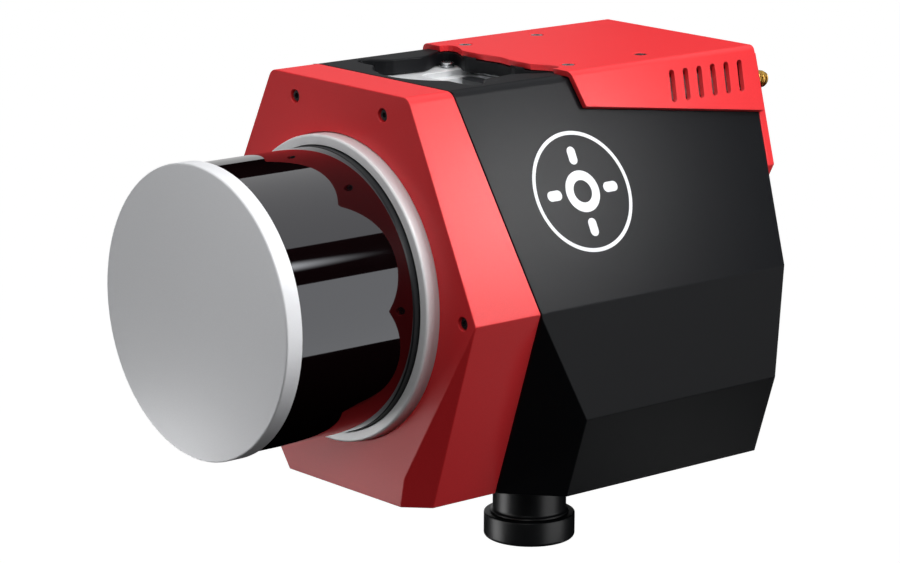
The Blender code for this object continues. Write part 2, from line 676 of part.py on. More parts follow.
def head_rotor():
    """Spinning optical bench: two discs with a web between them, lens tubes on one side."""
    bell = [(0, -14.0), (41.0, -14.0), (41.0, -11.4), (29.0, -11.4), (29.0, 2.6), (20.0, 2.6),
            (20.0, -1.0), (4.4, -1.0), (4.4, -11.3), (0, -11.3)]
    bench = turned("rotor_bench", along_y(bell), SILVER, axis="Y", steps=40)
    join(bench, box_mesh("web", (-4, -51.0, -30), (4, -13.0, 30)))
    join(bench, cylinder_mesh("front_disc", (0, 0, 0), 41.0, -52.0, -49.5, "Y", 40))
    for z in (-15.0, 15.0):
        cut(bench, cylinder_mesh("bore", (0, -32.0, z), 7.3, -10, 10, "X", 24))
    parts = [bench]
    for name, z in (("emitter_lens", 15.0), ("receiver_lens", -15.0)):
        tube = [(0, 28.0), (7.0, 26.5), (7.0, -3.7), (0, -3.7)]
        lens = turned(name, tube, OPTIC, (0, -32.0, z), "X", 24)
        parts.append(lens)
    parts.append(box("emitter_board", (-9.0, -46.0, 4.0), (-4.3, -18.0, 27.0), BOARD))
    parts.append(box("receiver_board", (-9.0, -46.0, -27.0), (-4.3, -18.0, -4.0), BOARD))
    parts.append(box("rotor_counterweight", (-12.15, -44.0, -16.0), (-9.3, -20.0, 16.0), BRASS))
    return parts


# ---- camera -----------------------------------------------------------------------------------------
def camera():
    """Mapping camera that looks straight down: body, sensor board, barrel, focus ring and glass."""
    centre = (0, LENS_Y, 0)
    mount_z = BOTTOM_Z + BODY_WALL + GAP
    box("camera_body", (-23, LENS_Y - 23, mount_z), (23, LENS_Y + 23, mount_z + 30), DARK)
    board_z = mount_z + 30 + GAP
    box("camera_sensor_board", (-19, LENS_Y - 19, board_z), (19, LENS_Y + 19, board_z + 1.7), BOARD)
    nose = 10.6
    barrel = [(0.0, mount_z - GAP), (BARREL_RADIUS, mount_z - GAP), (BARREL_RADIUS, RING_TOP_Z + GAP),
              (nose, RING_TOP_Z + GAP), (nose, RING_BOTTOM_Z + 1.0), (8.4, RING_BOTTOM_Z + 1.0),
              (8.4, -76.0), (0.0, -76.0)]
    turned("lens_barrel", barrel, DARK, centre, "Z", 40)
    glass = [(0, RING_BOTTOM_Z + 4.6), (8.1, RING_BOTTOM_Z + 4.6), (8.1, RING_BOTTOM_Z + 3.0),
             (5.0, RING_BOTTOM_Z + 2.2), (0, RING_BOTTOM_Z + 1.8)]
    turned("lens_front_glass", glass, OPTIC, centre, "Z", 32)
    inner = [(0, -88.0), (8.1, -88.6), (8.1, -91.4), (0, -92.0)]
    turned("lens_inner_glass", inner, OPTIC, centre, "Z", 32)
    bore = nose + GAP
    ring = [(RING_RADIUS - 0.8, RING_TOP_Z), (RING_RADIUS, RING_TOP_Z - 0.8),
            (RING_RADIUS, RING_BOTTOM_Z + 1.2), (RING_RADIUS - 1.2, RING_BOTTOM_Z),
            (bore + 1.2, RING_BOTTOM_Z), (bore, RING_BOTTOM_Z + 1.2), (bore, RING_TOP_Z)]
    focus = turned("lens_focus_ring", ring, DARK, centre, "Z", 40)
    set_pivot(focus, (0, LENS_Y, (RING_TOP_Z + RING_BOTTOM_Z) / 2))


# ---- electronics ------------------------------------------------------------------------------------
def electronics():
    """Boards and modules inside the body, stacked above the camera."""
    shelf = -30.0
    board = box("main_board", (-56, 40, shelf), (56, 134, shelf + 1.6), BOARD)
    cut(board, box_mesh("harness_slot", (-10, 30, shelf - 1), (10, 46, shelf + 3)))
    box("inertial_unit", (-22, 52, shelf + 1.9), (22, 96, shelf + 21), SILVER)
    box("storage_module", (28, 52, shelf + 1.9), (54, 118, shelf + 11), DARK)
    box("power_module", (-54, 52, shelf + 1.9), (-28, 108, shelf + 15), DARK)
    box("satellite_receiver", (-30, 50, 18.0), (30, 116, 19.6), BOARD)
    box("receiver_shield", (-20, 58, 19.9), (20, 104, 24.5), SILVER)
    box("head_interface_board", (-30, BASE_BACK_Y + GAP, -22.0), (30, BASE_BACK_Y + 1.9, 26.0), BOARD)


def vent_screens():
    """Bright plates that show through the cover's vents on each side."""
    for side, name in ((-1, "vent_screen_left"), (1, "vent_screen_right")):
        mesh = vent_slab(name, side, -0.3, -2.2, 1.5, margin=-GAP)
        add_part(name, mesh, SILVER)


# ---- rear panel fittings ----------------------------------------------------------------------------
def panel_fitting(name, profile, material, x, z, steps):
    """Turn a fitting about the panel's normal; its profile is (radius, distance out of the panel)."""
    mesh = turned_mesh(name, along_y(profile), (0, 0, 0), "Y", steps)
    mesh.transform(panel_matrix(x, z))
    part = add_part(name, mesh, material)
    smooth(part)
    return part


def antenna_port(name, x, z):
    """Threaded coaxial jack: a flange against the panel, a barrel and a centre pin well."""
    jack = [(0, 5.8), (2.4, 5.8), (2.4, 9.3), (3.1, 9.3), (3.1, 1.7), (4.6, 1.7), (4.6, GAP),
            (3.1, GAP), (3.1, -9.0), (0, -9.0)]
    return panel_fitting(name, list(reversed(jack)), BRASS, x, z, 16)


def round_port(name, x, z, radius):
    """Round locking connector with a well."""
    port = [(0, 2.5), (radius - 2.0, 2.5), (radius - 2.0, 6.0), (radius, 6.0), (radius, 1.9),
            (radius + 1.4, 1.9), (radius + 1.4, GAP), (radius, GAP), (radius, -12.0), (0, -12.0)]
    return panel_fitting(name, list(reversed(port)), SILVER, x, z, 20)


def rear_fittings():
    (left, right, power, data, button, light) = REAR_PORTS
    antenna_port("antenna_port_left", *left[:2])
    antenna_port("antenna_port_right", *right[:2])
    round_port("power_port", *power)
    round_port("data_port", *data)
    knob = [(0, -6.0), (4.4, -6.0), (4.4, 1.6), (3.7, 2.2), (0, 2.2)]
    cap = panel_fitting("power_button", knob, RED, button[0], button[1], 24)
    set_pivot(cap, panel_matrix(button[0], button[1]).translation / MM)
    lens = [(0, -5.0), (1.6, -5.0), (1.6, 0.2), (1.0, 0.7), (0, 0.8)]
    panel_fitting("status_light", lens, GREEN, light[0], light[1], 16)


def join_to_rotor(parts):
    """The spinning pieces share one pivot on the spin axis."""
    spin = bpy.data.objects.new("spin_axis", None)
    PARTS.objects.link(spin)
    spin.parent = FRAME
    for part in parts:
        part.parent = spin


front_housing()
body_shell()
top_cover()
rear_panel()
chassis_plate()
mount_contacts()
release_latch()
latch_spring()
chassis_screws()
cover_screws()
front_screws()
head_static()
join_to_rotor(head_drive() + head_rotor())
camera()
electronics()
vent_screens()
rear_fittings()
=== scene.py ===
"""Looks of the mobile laser scanner: finely edged housing, spinning head, mapping camera and mount,
with their finishes, on a pale studio floor.

Sizes are millimetres in the scanner frame: x to the right, y backwards from the front face, z up from
the spin axis.  finish_piece() moves each piece to the frame's own place, whose origin is the mount seat.
"""

from math import acos, atan, cos, exp, hypot, pi, radians, sin, sqrt, tan

import bmesh
import bpy
from mathutils import Matrix, Vector


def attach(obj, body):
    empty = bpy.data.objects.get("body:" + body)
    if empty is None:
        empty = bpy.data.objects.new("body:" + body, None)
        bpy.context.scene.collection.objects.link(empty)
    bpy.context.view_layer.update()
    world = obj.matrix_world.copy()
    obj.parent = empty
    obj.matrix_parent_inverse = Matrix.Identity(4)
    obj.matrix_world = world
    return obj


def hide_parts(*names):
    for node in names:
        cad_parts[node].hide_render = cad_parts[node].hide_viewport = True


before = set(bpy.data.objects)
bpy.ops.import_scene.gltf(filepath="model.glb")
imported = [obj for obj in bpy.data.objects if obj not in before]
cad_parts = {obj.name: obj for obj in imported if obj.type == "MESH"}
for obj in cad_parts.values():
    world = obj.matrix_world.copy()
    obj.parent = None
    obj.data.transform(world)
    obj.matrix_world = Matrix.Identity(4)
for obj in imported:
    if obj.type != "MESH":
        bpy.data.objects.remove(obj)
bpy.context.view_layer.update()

MM = 0.001
GAP = 0.3

# ---- sizes shared with the frame ----
SEAT_Y, SEAT_Z = 47.0, 65.0
TOP_Z, BOTTOM_Z, WAIST_Z, KNEE_Z = 70.7, -72.2, -0.8, -40.9
TOP_HALF, WAIST_HALF, CHIN_HALF, FOOT_HALF = 37.0, 72.0, 38.7, 57.5
CHIN_Z = -60.4
SEAM_Y, SEAM_SLOPE = 28.6, 0.134
REAR_Y, REAR_KNEE_Y, REAR_FOOT_Y, REAR_TOP_SLOPE = 144.2, 141.0, 146.4, 0.205
FRONT_WALL, SIDE_WALL, BODY_WALL, DECK_WALL = 9.0, 3.5, 3.0, 5.4
HEAD_RADIUS, WINDOW_RADIUS, WINDOW_WALL = 50.3, 49.2, 2.5
CAP_FRONT_Y, CAP_BACK_Y = -61.3, -54.9
BASE_STEP_Y, BASE_RADIUS, BASE_BACK_Y = -7.4, 49.3, 30.0
TRIM_FRONT_Y, TRIM_RADIUS, TRIM_BACK_Y = -5.0, 53.2, 6.0
COVER_THICK, COVER_Z, COVER_FRONT_Y, COVER_REAR_OVERHANG = 2.2, 70.0, 70.0, 0.4
FLAP_FRONT, FLAP_REAR = (44.4, 73.6, 60.3), (49.3, 155.6, 50.3)
COVER_SCREWS = [(-27.4, 80.3), (27.4, 80.3), (-27.4, 114.6), (27.4, 114.6)]
OPENING_Y, OPENING_RADIUS, LOBE_RADIUS = 47.0, 24.4, 5.2
LOBES = [(-26.8, 36.2), (26.8, 36.2), (-26.2, 70.8), (26.2, 70.8)]
FRONT_SCREWS = [(-23.7, 63.0), (23.7, 63.0), (-65.4, -0.8), (65.4, -0.8)]
LENS_Y, BARREL_RADIUS, RING_RADIUS, RING_TOP_Z, RING_BOTTOM_Z = 88.7, 13.4, 16.6, -97.0, -106.2
PANEL_THICK = 3.2
CHASSIS_THICK = 6.0
POCKET_FLOOR = SEAT_Z - CHASSIS_THICK + 1.2     # the chassis pockets leave this much metal under them
LATCH_Y = 66.5
VENT_Y, VENT_Z = (112.0, 152.0), (56.6, 67.0)
SLOT_COUNT, SLOT_WIDTH = 6, 2.4
COVER_BEND = 3.0                # outer radius of the cover's folds
EDGE_ROUND = 4.0                # radius of the long edges between the top and the upper side facets
WELD = 0.004                    # corners of a boolean's result closer than this are one
FLAT_ENOUGH = 0.4               # degrees between faces that are one flat face
ROUNDED_EDGE, CREASE = 24, 30   # degrees from which an edge is rounded, and one on a turned piece stays crisp


# ---- mesh making ----
def closed_mesh(bm, name):
    """A mesh from a closed bmesh, with its faces turned outwards."""
    bmesh.ops.recalc_face_normals(bm, faces=bm.faces)
    mesh = bpy.data.meshes.new(name)
    bm.to_mesh(mesh)
    bm.free()
    return mesh


def prism(name, outline, low, high, axis):
    """A flat outline pushed from low to high: (x, z) along Y, (x, y) along Z or (y, z) along X."""
    lift = {"X": lambda p, d: (d, p[0], p[1]), "Y": lambda p, d: (p[0], d, p[1]),
            "Z": lambda p, d: (p[0], p[1], d)}[axis]
    bm = bmesh.new()
    near = [bm.verts.new(Vector(lift(point, low)) * MM) for point in outline]
    far = [bm.verts.new(Vector(lift(point, high)) * MM) for point in outline]
    bm.faces.new(near)
    bm.faces.new(far)
    for i in range(len(outline)):
        j = (i + 1) % len(outline)
        bm.faces.new((near[i], near[j], far[j], far[i]))
    return closed_mesh(bm, name)


def box(name, low, high):
    return prism(name, [(low[0], low[1]), (high[0], low[1]), (high[0], high[1]), (low[0], high[1])],
                 low[2], high[2], "Z")


AXES = {"X": Matrix.Rotation(radians(90), 4, "Y"), "Y": Matrix.Rotation(radians(-90), 4, "X"),
        "Z": Matrix.Identity(4)}


def lathe(name, profile, centre=(0, 0, 0), axis="Z", steps=96):
    """Turn (radius, height) points about an axis.  A profile that leaves the axis and comes back to it
    is a solid; any other closes on itself as a ring."""
    bm = bmesh.new()
    rings = []
    for radius, height in profile:
        if radius == 0:
            rings.append([bm.verts.new((0, 0, height * MM))] * steps)
            continue
        turns = (2 * pi * step / steps for step in range(steps))
        rings.append([bm.verts.new((radius * MM * cos(a), radius * MM * sin(a), height * MM))
                      for a in turns])
    pairs = list(zip(rings, rings[1:]))
    if profile[0][0] > 0:
        pairs.append((rings[-1], rings[0]))
    for upper, lower in pairs:
        for i in range(steps):
            corners = (upper[i], upper[(i + 1) % steps], lower[(i + 1) % steps], lower[i])
            bm.faces.new(list(dict.fromkeys(corners)))
    mesh = closed_mesh(bm, name)
    mesh.transform(Matrix.Translation(Vector(centre) * MM) @ AXES[axis])
    return mesh


def cylinder(centre, radius, low, high, axis="Z", steps=48):
    return lathe("cylinder", [(0, high), (radius, high), (radius, low), (0, low)], centre, axis, steps)


def arc(centre, radius, start, end, steps):
    """Points of a circle's arc, angles in degrees."""
    angles = [radians(start + (end - start) * i / steps) for i in range(steps + 1)]
    return [(centre[0] + radius * cos(a), centre[1] + radius * sin(a)) for a in angles]


def rounded(outline, radii, steps=6):
    """Round the corners of a closed outline: radii gives each corner's radius, 0 leaves it sharp."""
    points = []
    count = len(outline)
    for i, radius in enumerate(radii):
        corner = Vector(outline[i])
        if not radius:
            points.append(tuple(corner))
            continue
        before = (Vector(outline[i - 1]) - corner).normalized()
        after = (Vector(outline[(i + 1) % count]) - corner).normalized()
        half = acos(max(-1, min(1, before.dot(after)))) / 2
        start = corner + before * radius / tan(half)
        end = corner + after * radius / tan(half)
        middle = corner + (before + after).normalized() * radius / sin(half)
        spin = (start - middle).angle_signed(end - middle)
        for step in range(steps + 1):
            turn = Matrix.Rotation(-spin * step / steps, 2)
            points.append(tuple(middle + turn @ (start - middle)))
    return points


def slab(low, high, radius, bottom, top, steps=6):
    """An upright block from corner low to corner high, with its upright edges rounded."""
    corners = [(low[0], low[1]), (high[0], low[1]), (high[0], high[1]), (low[0], high[1])]
    return prism("slab", rounded(corners, [radius] * 4, steps), bottom, top, "Z")


def mirrored(outline):
    """Close a right-hand outline, listed from top to bottom, with its mirror image."""
    return outline + [(-first, second) for first, second in reversed(outline)]


def slice_off(mesh, point, normal):
    """Cut a solid with a plane, close the cut and throw away what lies on the normal's side."""
    bm = bmesh.new()
    bm.from_mesh(mesh)
    cut_rim = bmesh.ops.bisect_plane(
        bm, geom=bm.verts[:] + bm.edges[:] + bm.faces[:], dist=1e-7, clear_outer=True,
        plane_co=Vector(point) * MM, plane_no=Vector(normal).normalized())["geom_cut"]
    bmesh.ops.contextual_create(bm, geom=[part for part in cut_rim if isinstance(part, bmesh.types.BMEdge)])
    bmesh.ops.recalc_face_normals(bm, faces=bm.faces)
    bm.to_mesh(mesh)
    bm.free()


def slice_both(mesh, point, normal, inset=0.0):
    """Slice a facet off the right and left of a solid, moved inwards by an inset."""
    for side in (1, -1):
        facet = Vector((side * normal[0], normal[1], normal[2])).normalized()
        slice_off(mesh, Vector((side * point[0], point[1], point[2])) - facet * inset, facet)


def new_object(name, mesh):
    obj = bpy.data.objects.new(name, mesh)
    bpy.context.scene.collection.objects.link(obj)
    return obj


def settle(obj):
    """Replace an object's mesh with the result of its modifiers."""
    depsgraph = bpy.context.evaluated_depsgraph_get()
    result = bpy.data.meshes.new_from_object(obj.evaluated_get(depsgraph), depsgraph=depsgraph)
    obj.modifiers.clear()
    obj.data = result
    return obj


def mesh_alone(obj):
    """An object's mesh, once the object itself is no longer needed."""
    mesh = obj.data
    bpy.data.objects.remove(obj, do_unlink=True)
    return mesh


def combine(obj, tool_mesh, operation):
    """Cut away another solid, or keep the overlap with it."""
    tool = new_object("tool", tool_mesh)
    modifier = obj.modifiers.new("combine", "BOOLEAN")
    modifier.operation = operation
    modifier.object = tool
    settle(obj)
    bpy.data.objects.remove(tool, do_unlink=True)


def cut(obj, *tools):
    for tool in tools:
        combine(obj, tool, "DIFFERENCE")


def merge_meshes(name, meshes):
    """Several closed meshes as one, without a boolean."""
    bm = bmesh.new()
    for mesh in meshes:
        bm.from_mesh(mesh)
    merged = bpy.data.meshes.new(name)
    bm.to_mesh(merged)
    bm.free()
    return merged


def soften(obj, width, places=(), segments=3):
    """Round every edge sharper than ROUNDED_EDGE by a width in millimetres.  Each place is a test of an
    edge's middle point, in millimetres, and the width to use there instead."""
    bm = bmesh.new()
    bm.from_mesh(obj.data)
    bmesh.ops.remove_doubles(bm, verts=bm.verts, dist=WELD * MM)
    bmesh.ops.dissolve_limit(bm, angle_limit=radians(FLAT_ENOUGH), verts=bm.verts, edges=bm.edges)
    widest = max([width] + [wide for test, wide in places])
    weight = bm.edges.layers.float.get("bevel_weight_edge") or bm.edges.layers.float.new("bevel_weight_edge")
    for edge in bm.edges:
        if len(edge.link_faces) != 2 or edge.calc_face_angle(0) < radians(ROUNDED_EDGE):
            continue
        middle = (edge.verts[0].co + edge.verts[1].co) / 2 / MM
        chosen = next((wide for test, wide in places if test(middle)), width)
        edge[weight] = chosen / widest
    bm.to_mesh(obj.data)
    bm.free()
    bevel = obj.modifiers.new("soften", "BEVEL")
    bevel.limit_method = "WEIGHT"
    bevel.width = widest * MM
    bevel.segments = segments
    bevel.use_clamp_overlap = False
    bevel.harden_normals = True
    obj.data.shade_smooth()
    obj.data.set_sharp_from_angle(angle=radians(ROUNDED_EDGE))
    flat_faces = obj.modifiers.new("even_shading", "WEIGHTED_NORMAL")
    flat_faces.keep_sharp = True
    return settle(obj)


def smooth(obj):
    obj.data.shade_smooth()
    obj.data.set_sharp_from_angle(angle=radians(CREASE))
    return obj


TO_SEAT = Matrix.Translation(Vector((0, -SEAT_Y, -SEAT_Z)) * MM)


def finish_piece(obj, material, nodes=(), body="root"):
    """Give a piece its material, move it to the frame's place and let it ride on its body."""
    if material:
        obj.data.materials.clear()
        obj.data.materials.append(material)
    obj.data.transform(TO_SEAT)
    obj.data.name = obj.name
    if nodes:
        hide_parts(*nodes)
    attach(obj, body)
    return obj


def turned_piece(name, profile, material, nodes=(), centre=(0, 0, 0), axis="Z", steps=96, body="root"):
    return finish_piece(smooth(new_object(name, lathe(name, profile, centre, axis, steps))),
                        material, nodes, body)


# ---- node trees ----
def hex_colour(code):
    """An sRGB hex colour as linear red, green, blue and alpha."""
    values = [int(code[i:i + 2], 16) / 255 for i in (1, 3, 5)]
    return (*[v / 12.92 if v <= 0.04045 else ((v + 0.055) / 1.055) ** 2.4 for v in values], 1.0)


def add_node(tree, kind, links=None, **settings):
    """A node with its settings; links gives inputs their values, or the outputs that feed them."""
    made = tree.nodes.new(kind)
    for name, value in settings.items():
        setattr(made, name, value)
    for key, value in (links or {}).items():
        if isinstance(value, bpy.types.NodeSocket):
            tree.links.new(value, made.inputs[key])
        else:
            made.inputs[key].default_value = value
    return made


def geometry_tree(name, sizes):
    """A Geometry Nodes tree with named inputs, its input node and a function that closes it."""
    tree = bpy.data.node_groups.new(name, "GeometryNodeTree")
    tree.interface.new_socket("Geometry", in_out="INPUT", socket_type="NodeSocketGeometry")
    for label, kind in sizes:
        tree.interface.new_socket(label, in_out="INPUT", socket_type=kind)
    tree.interface.new_socket("Material", in_out="INPUT", socket_type="NodeSocketMaterial")
    tree.interface.new_socket("Geometry", in_out="OUTPUT", socket_type="NodeSocketGeometry")
    start = add_node(tree, "NodeGroupInput")

    def close(geometry):
        whole = add_node(tree, "GeometryNodeRealizeInstances", {"Geometry": geometry})
        painted = add_node(tree, "GeometryNodeSetMaterial",
                           {"Geometry": whole.outputs[0], "Material": start.outputs["Material"]})
        add_node(tree, "NodeGroupOutput", {0: painted.outputs[0]})
        return tree
    return tree, start.outputs, close


def grown(tree, name, mesh, material, **values):
    """Run a tree on a mesh with its inputs given by label (spaces as underscores), as a plain object."""
    obj = new_object(name, mesh)
    modifier = obj.modifiers.new("grow", "NODES")
    modifier.node_group = tree
    wanted = {label.replace("_", " "): value for label, value in values.items()}
    wanted["Material"] = material
    for item in tree.interface.items_tree:
        if item.in_out == "INPUT" and item.name in wanted:
            modifier[item.identifier] = wanted[item.name]
    return settle(obj)


def make_copies_tree():
    """Copies of a shape, each one step further along and turned about the upright axis."""
    tree, given, close = geometry_tree("copies_in_a_row_or_ring", [
        ("Count", "NodeSocketInt"), ("Step", "NodeSocketVector"), ("Turn", "NodeSocketFloat")])
    row = add_node(tree, "GeometryNodeMeshLine", {"Count": given["Count"], "Offset": (0.0, 0.0, 0.0)})
    placed = add_node(tree, "GeometryNodeInstanceOnPoints",
                      {"Points": row.outputs[0], "Instance": given["Geometry"]})
    index = add_node(tree, "GeometryNodeInputIndex")
    angle = add_node(tree, "ShaderNodeMath", {0: index.outputs[0], 1: given["Turn"]}, operation="MULTIPLY")
    upright = add_node(tree, "ShaderNodeCombineXYZ", {"Z": angle.outputs[0]})
    turned = add_node(tree, "GeometryNodeRotateInstances",
                      {"Instances": placed.outputs[0], "Rotation": upright.outputs[0]})
    turned.inputs["Local Space"].default_value = False
    along = add_node(tree, "ShaderNodeVectorMath", {0: given["Step"], "Scale": index.outputs[0]},
                     operation="SCALE")
    moved = add_node(tree, "GeometryNodeTranslateInstances",
                     {"Instances": turned.outputs[0], "Translation": along.outputs[0]})
    moved.inputs["Local Space"].default_value = False
    return close(moved.outputs[0])


def make_screw_tree():
    """Screws at the points of a mesh: a head with a six-sided socket, and a shank under it."""
    tree, given, close = geometry_tree("socket_screws", [
        ("Head Radius", "NodeSocketFloat"), ("Under Radius", "NodeSocketFloat"),
        ("Head Height", "NodeSocketFloat"), ("Rim", "NodeSocketFloat"), ("Socket Radius", "NodeSocketFloat"),
        ("Shank Radius", "NodeSocketFloat"), ("Shank Length", "NodeSocketFloat"),
        ("Rotation", "NodeSocketRotation")])
    sides = 32

    def lifted(shape, height, scale):
        drop = add_node(tree, "ShaderNodeMath", {0: height, 1: scale}, operation="MULTIPLY")
        offset = add_node(tree, "ShaderNodeCombineXYZ", {"Z": drop.outputs[0]})
        return add_node(tree, "GeometryNodeTransform",
                        {"Geometry": shape.outputs[0], "Translation": offset.outputs[0]})

    head = add_node(tree, "GeometryNodeMeshCone", {
        "Vertices": sides, "Radius Top": given["Head Radius"], "Radius Bottom": given["Under Radius"],
        "Depth": given["Head Height"]})
    head = lifted(head, given["Head Height"], -1.0)
    crown_radius = add_node(tree, "ShaderNodeMath", {0: given["Head Radius"], 1: given["Rim"]},
                            operation="SUBTRACT")
    crown = add_node(tree, "GeometryNodeMeshCone", {
        "Vertices": sides, "Radius Top": crown_radius.outputs[0], "Radius Bottom": given["Head Radius"],
        "Depth": given["Rim"]})
    shank = add_node(tree, "GeometryNodeMeshCylinder", {
        "Vertices": sides, "Radius": given["Shank Radius"], "Depth": given["Shank Length"]})
    reach = add_node(tree, "ShaderNodeMath", {0: given["Head Height"], 1: given["Shank Length"]},
                     operation="ADD")
    shank = lifted(lifted(shank, reach.outputs[0], -0.5), given["Head Height"], -0.25)
    solid = add_node(tree, "GeometryNodeMeshBoolean", {}, operation="UNION")
    for part in (head, crown, shank):
        tree.links.new(part.outputs[0], solid.inputs["Mesh 2"])
    socket = add_node(tree, "GeometryNodeMeshCylinder", {
        "Vertices": 6, "Radius": given["Socket Radius"], "Depth": given["Head Height"]})
    drilled = add_node(tree, "GeometryNodeMeshBoolean", {"Mesh 1": solid.outputs[0]}, operation="DIFFERENCE")
    tree.links.new(socket.outputs["Mesh"], drilled.inputs["Mesh 2"])
    placed = add_node(tree, "GeometryNodeInstanceOnPoints", {
        "Points": given["Geometry"], "Instance": drilled.outputs[0], "Rotation": given["Rotation"]})
    return close(placed.outputs[0])


def make_coil_tree():
    """A round wire wound in a coil about the upright axis, for a spring or a screw thread."""
    tree, given, close = geometry_tree("wound_wire", [
        ("Turns", "NodeSocketFloat"), ("Coil Radius", "NodeSocketFloat"), ("Length", "NodeSocketFloat"),
        ("Wire Radius", "NodeSocketFloat")])
    path = add_node(tree, "GeometryNodeCurveSpiral", {
        "Resolution": 20, "Rotations": given["Turns"], "Start Radius": given["Coil Radius"],
        "End Radius": given["Coil Radius"], "Height": given["Length"]})
    wire = add_node(tree, "GeometryNodeCurvePrimitiveCircle",
                    {"Resolution": 8, "Radius": given["Wire Radius"]})
    tube = add_node(tree, "GeometryNodeCurveToMesh",
                    {"Curve": path.outputs[0], "Profile Curve": wire.outputs[0], "Fill Caps": True})
    return close(tube.outputs[0])


COPIES = make_copies_tree()
SCREWS = make_screw_tree()
COIL = make_coil_tree()


def points_mesh(points):
    mesh = bpy.data.meshes.new("points")
    mesh.from_pydata([Vector(point) * MM for point in points], [], [])
    return mesh


def copied(mesh, count, step=(0.0, 0.0, 0.0), turn=0.0):
    """Copies of a mesh, each a step in millimetres further, or turned further about the upright axis."""
    return mesh_alone(grown(COPIES, "copies", mesh, None, Count=count, Step=tuple(size * MM for size in step),
                            Turn=turn))


def wound(turns, coil_radius, length, wire_radius):
    """A coil of round wire, sizes in millimetres, that starts at zero and runs along Y."""
    mesh = mesh_alone(grown(COIL, "coil", points_mesh([(0, 0, 0)]), None, Turns=turns, Length=length * MM,
                            Coil_Radius=coil_radius * MM, Wire_Radius=wire_radius * MM))
    mesh.transform(AXES["Y"])
    return mesh


# ---- finishes ----
def finish(name, hex_code, roughness, metallic=0.0, **shader_inputs):
    """A material whose principled shader is set; its patterns are added by the functions below."""
    material = bpy.data.materials.new(name)
    material.use_nodes = True
    tree = material.node_tree
    shader = tree.nodes["Principled BSDF"]
    shader.inputs["Base Color"].default_value = hex_colour(hex_code)
    shader.inputs["Roughness"].default_value = roughness
    shader.inputs["Metallic"].default_value = metallic
    for label, value in shader_inputs.items():
        shader.inputs[label.replace("_", " ")].default_value = value
    material.diffuse_color = hex_colour(hex_code)
    return material, tree, shader


def pattern_place(tree):
    """Object coordinates, in metres, measured from the centre of the scanner's front face."""
    where = add_node(tree, "ShaderNodeTexCoord")
    return add_node(tree, "ShaderNodeMapping", {"Vector": where.outputs["Object"],
                                                "Location": tuple(-TO_SEAT.translation)}).outputs[0]


def vary_colour(tree, shader, factor, dark, light):
    """Colour runs from dark to light with a pattern."""
    ramp = add_node(tree, "ShaderNodeMix", {0: factor, 6: hex_colour(dark), 7: hex_colour(light)},
                    data_type="RGBA")
    tree.links.new(ramp.outputs[2], shader.inputs["Base Color"])


def vary_roughness(tree, shader, factor, low, high):
    ramp = add_node(tree, "ShaderNodeMapRange", {"Value": factor, "To Min": low, "To Max": high})
    tree.links.new(ramp.outputs[0], shader.inputs["Roughness"])


def raise_surface(tree, shader, height, depth_mm, strength):
    bump = add_node(tree, "ShaderNodeBump",
                    {"Height": height, "Distance": depth_mm * MM, "Strength": strength})
    tree.links.new(bump.outputs[0], shader.inputs["Normal"])


def noise_of(tree, place, size_mm, detail=2.0):
    """Cloudy noise whose blotches are about size_mm across."""
    return add_node(tree, "ShaderNodeTexNoise", {"Vector": place, "Scale": 1 / (size_mm * MM),
                                                 "Detail": detail}).outputs[0]


WAVE_PERIOD = 2 * pi / 20         # a wave texture of scale 1 repeats after this length


def grained(name, hex_code, dark, light, roughness, grain_mm, depth_mm, metallic=0.0, **shader_inputs):
    """A fine all-over grain with a slow drift in colour, as blasting, anodising or spark texture gives."""
    material, tree, shader = finish(name, hex_code, roughness, metallic, **shader_inputs)
    place = pattern_place(tree)
    grain = noise_of(tree, place, grain_mm)
    drift = noise_of(tree, place, 40.0)
    mixed = add_node(tree, "ShaderNodeMath", {0: grain, 1: 0.75}, operation="MULTIPLY")
    mixed = add_node(tree, "ShaderNodeMath", {0: drift, 1: 0.25, 2: mixed.outputs[0]},
                     operation="MULTIPLY_ADD")
    vary_colour(tree, shader, mixed.outputs[0], dark, light)
    vary_roughness(tree, shader, grain, roughness - 0.05, roughness + 0.05)
    raise_surface(tree, shader, grain, depth_mm, 0.6)
    return material


def turned_finish(name, hex_code, dark, light, roughness, line_mm, metallic):
    """Fine rings round the spin axis, as a lathe tool leaves."""
    material, tree, shader = finish(name, hex_code, roughness, metallic)
    rings = add_node(tree, "ShaderNodeTexWave", {
        "Vector": pattern_place(tree), "Scale": WAVE_PERIOD / (line_mm * MM), "Distortion": 0.6,
        "Detail": 2.0, "Detail Scale": 2.0}, wave_type="RINGS", rings_direction="Y").outputs["Fac"]
    vary_colour(tree, shader, rings, dark, light)
    vary_roughness(tree, shader, rings, roughness - 0.05, roughness + 0.07)
    raise_surface(tree, shader, rings, 0.004, 0.5)
    return material


def milled_finish(name, hex_code, dark, light, roughness, line_mm, metallic):
    """Straight feed lines across a milled face, with blotches of the blasting after it."""
    material, tree, shader = finish(name, hex_code, roughness, metallic)
    place = pattern_place(tree)
    lines = add_node(tree, "ShaderNodeTexWave", {
        "Vector": place, "Scale": WAVE_PERIOD / (line_mm * MM), "Distortion": 1.5, "Detail": 2.0,
        "Detail Scale": 1.5}, wave_type="BANDS", bands_direction="DIAGONAL").outputs["Fac"]
    blotch = noise_of(tree, place, 2.5, 4.0)
    vary_colour(tree, shader, blotch, dark, light)
    vary_roughness(tree, shader, lines, roughness - 0.06, roughness + 0.06)
    raise_surface(tree, shader, lines, 0.006, 0.5)
    return material


# Aluminium, blasted and dyed red in the anodising bath: satin, with a fine even grain.  The real grain is
# about 0.1 mm; it is drawn at 0.5 mm so that it shows.
RED_ANODISED = grained("anodised_aluminium_red", "#DE2B30", "#D5262B", "#E63338", 0.42, 0.5, 0.012,
                       Specular_IOR_Level=0.32)
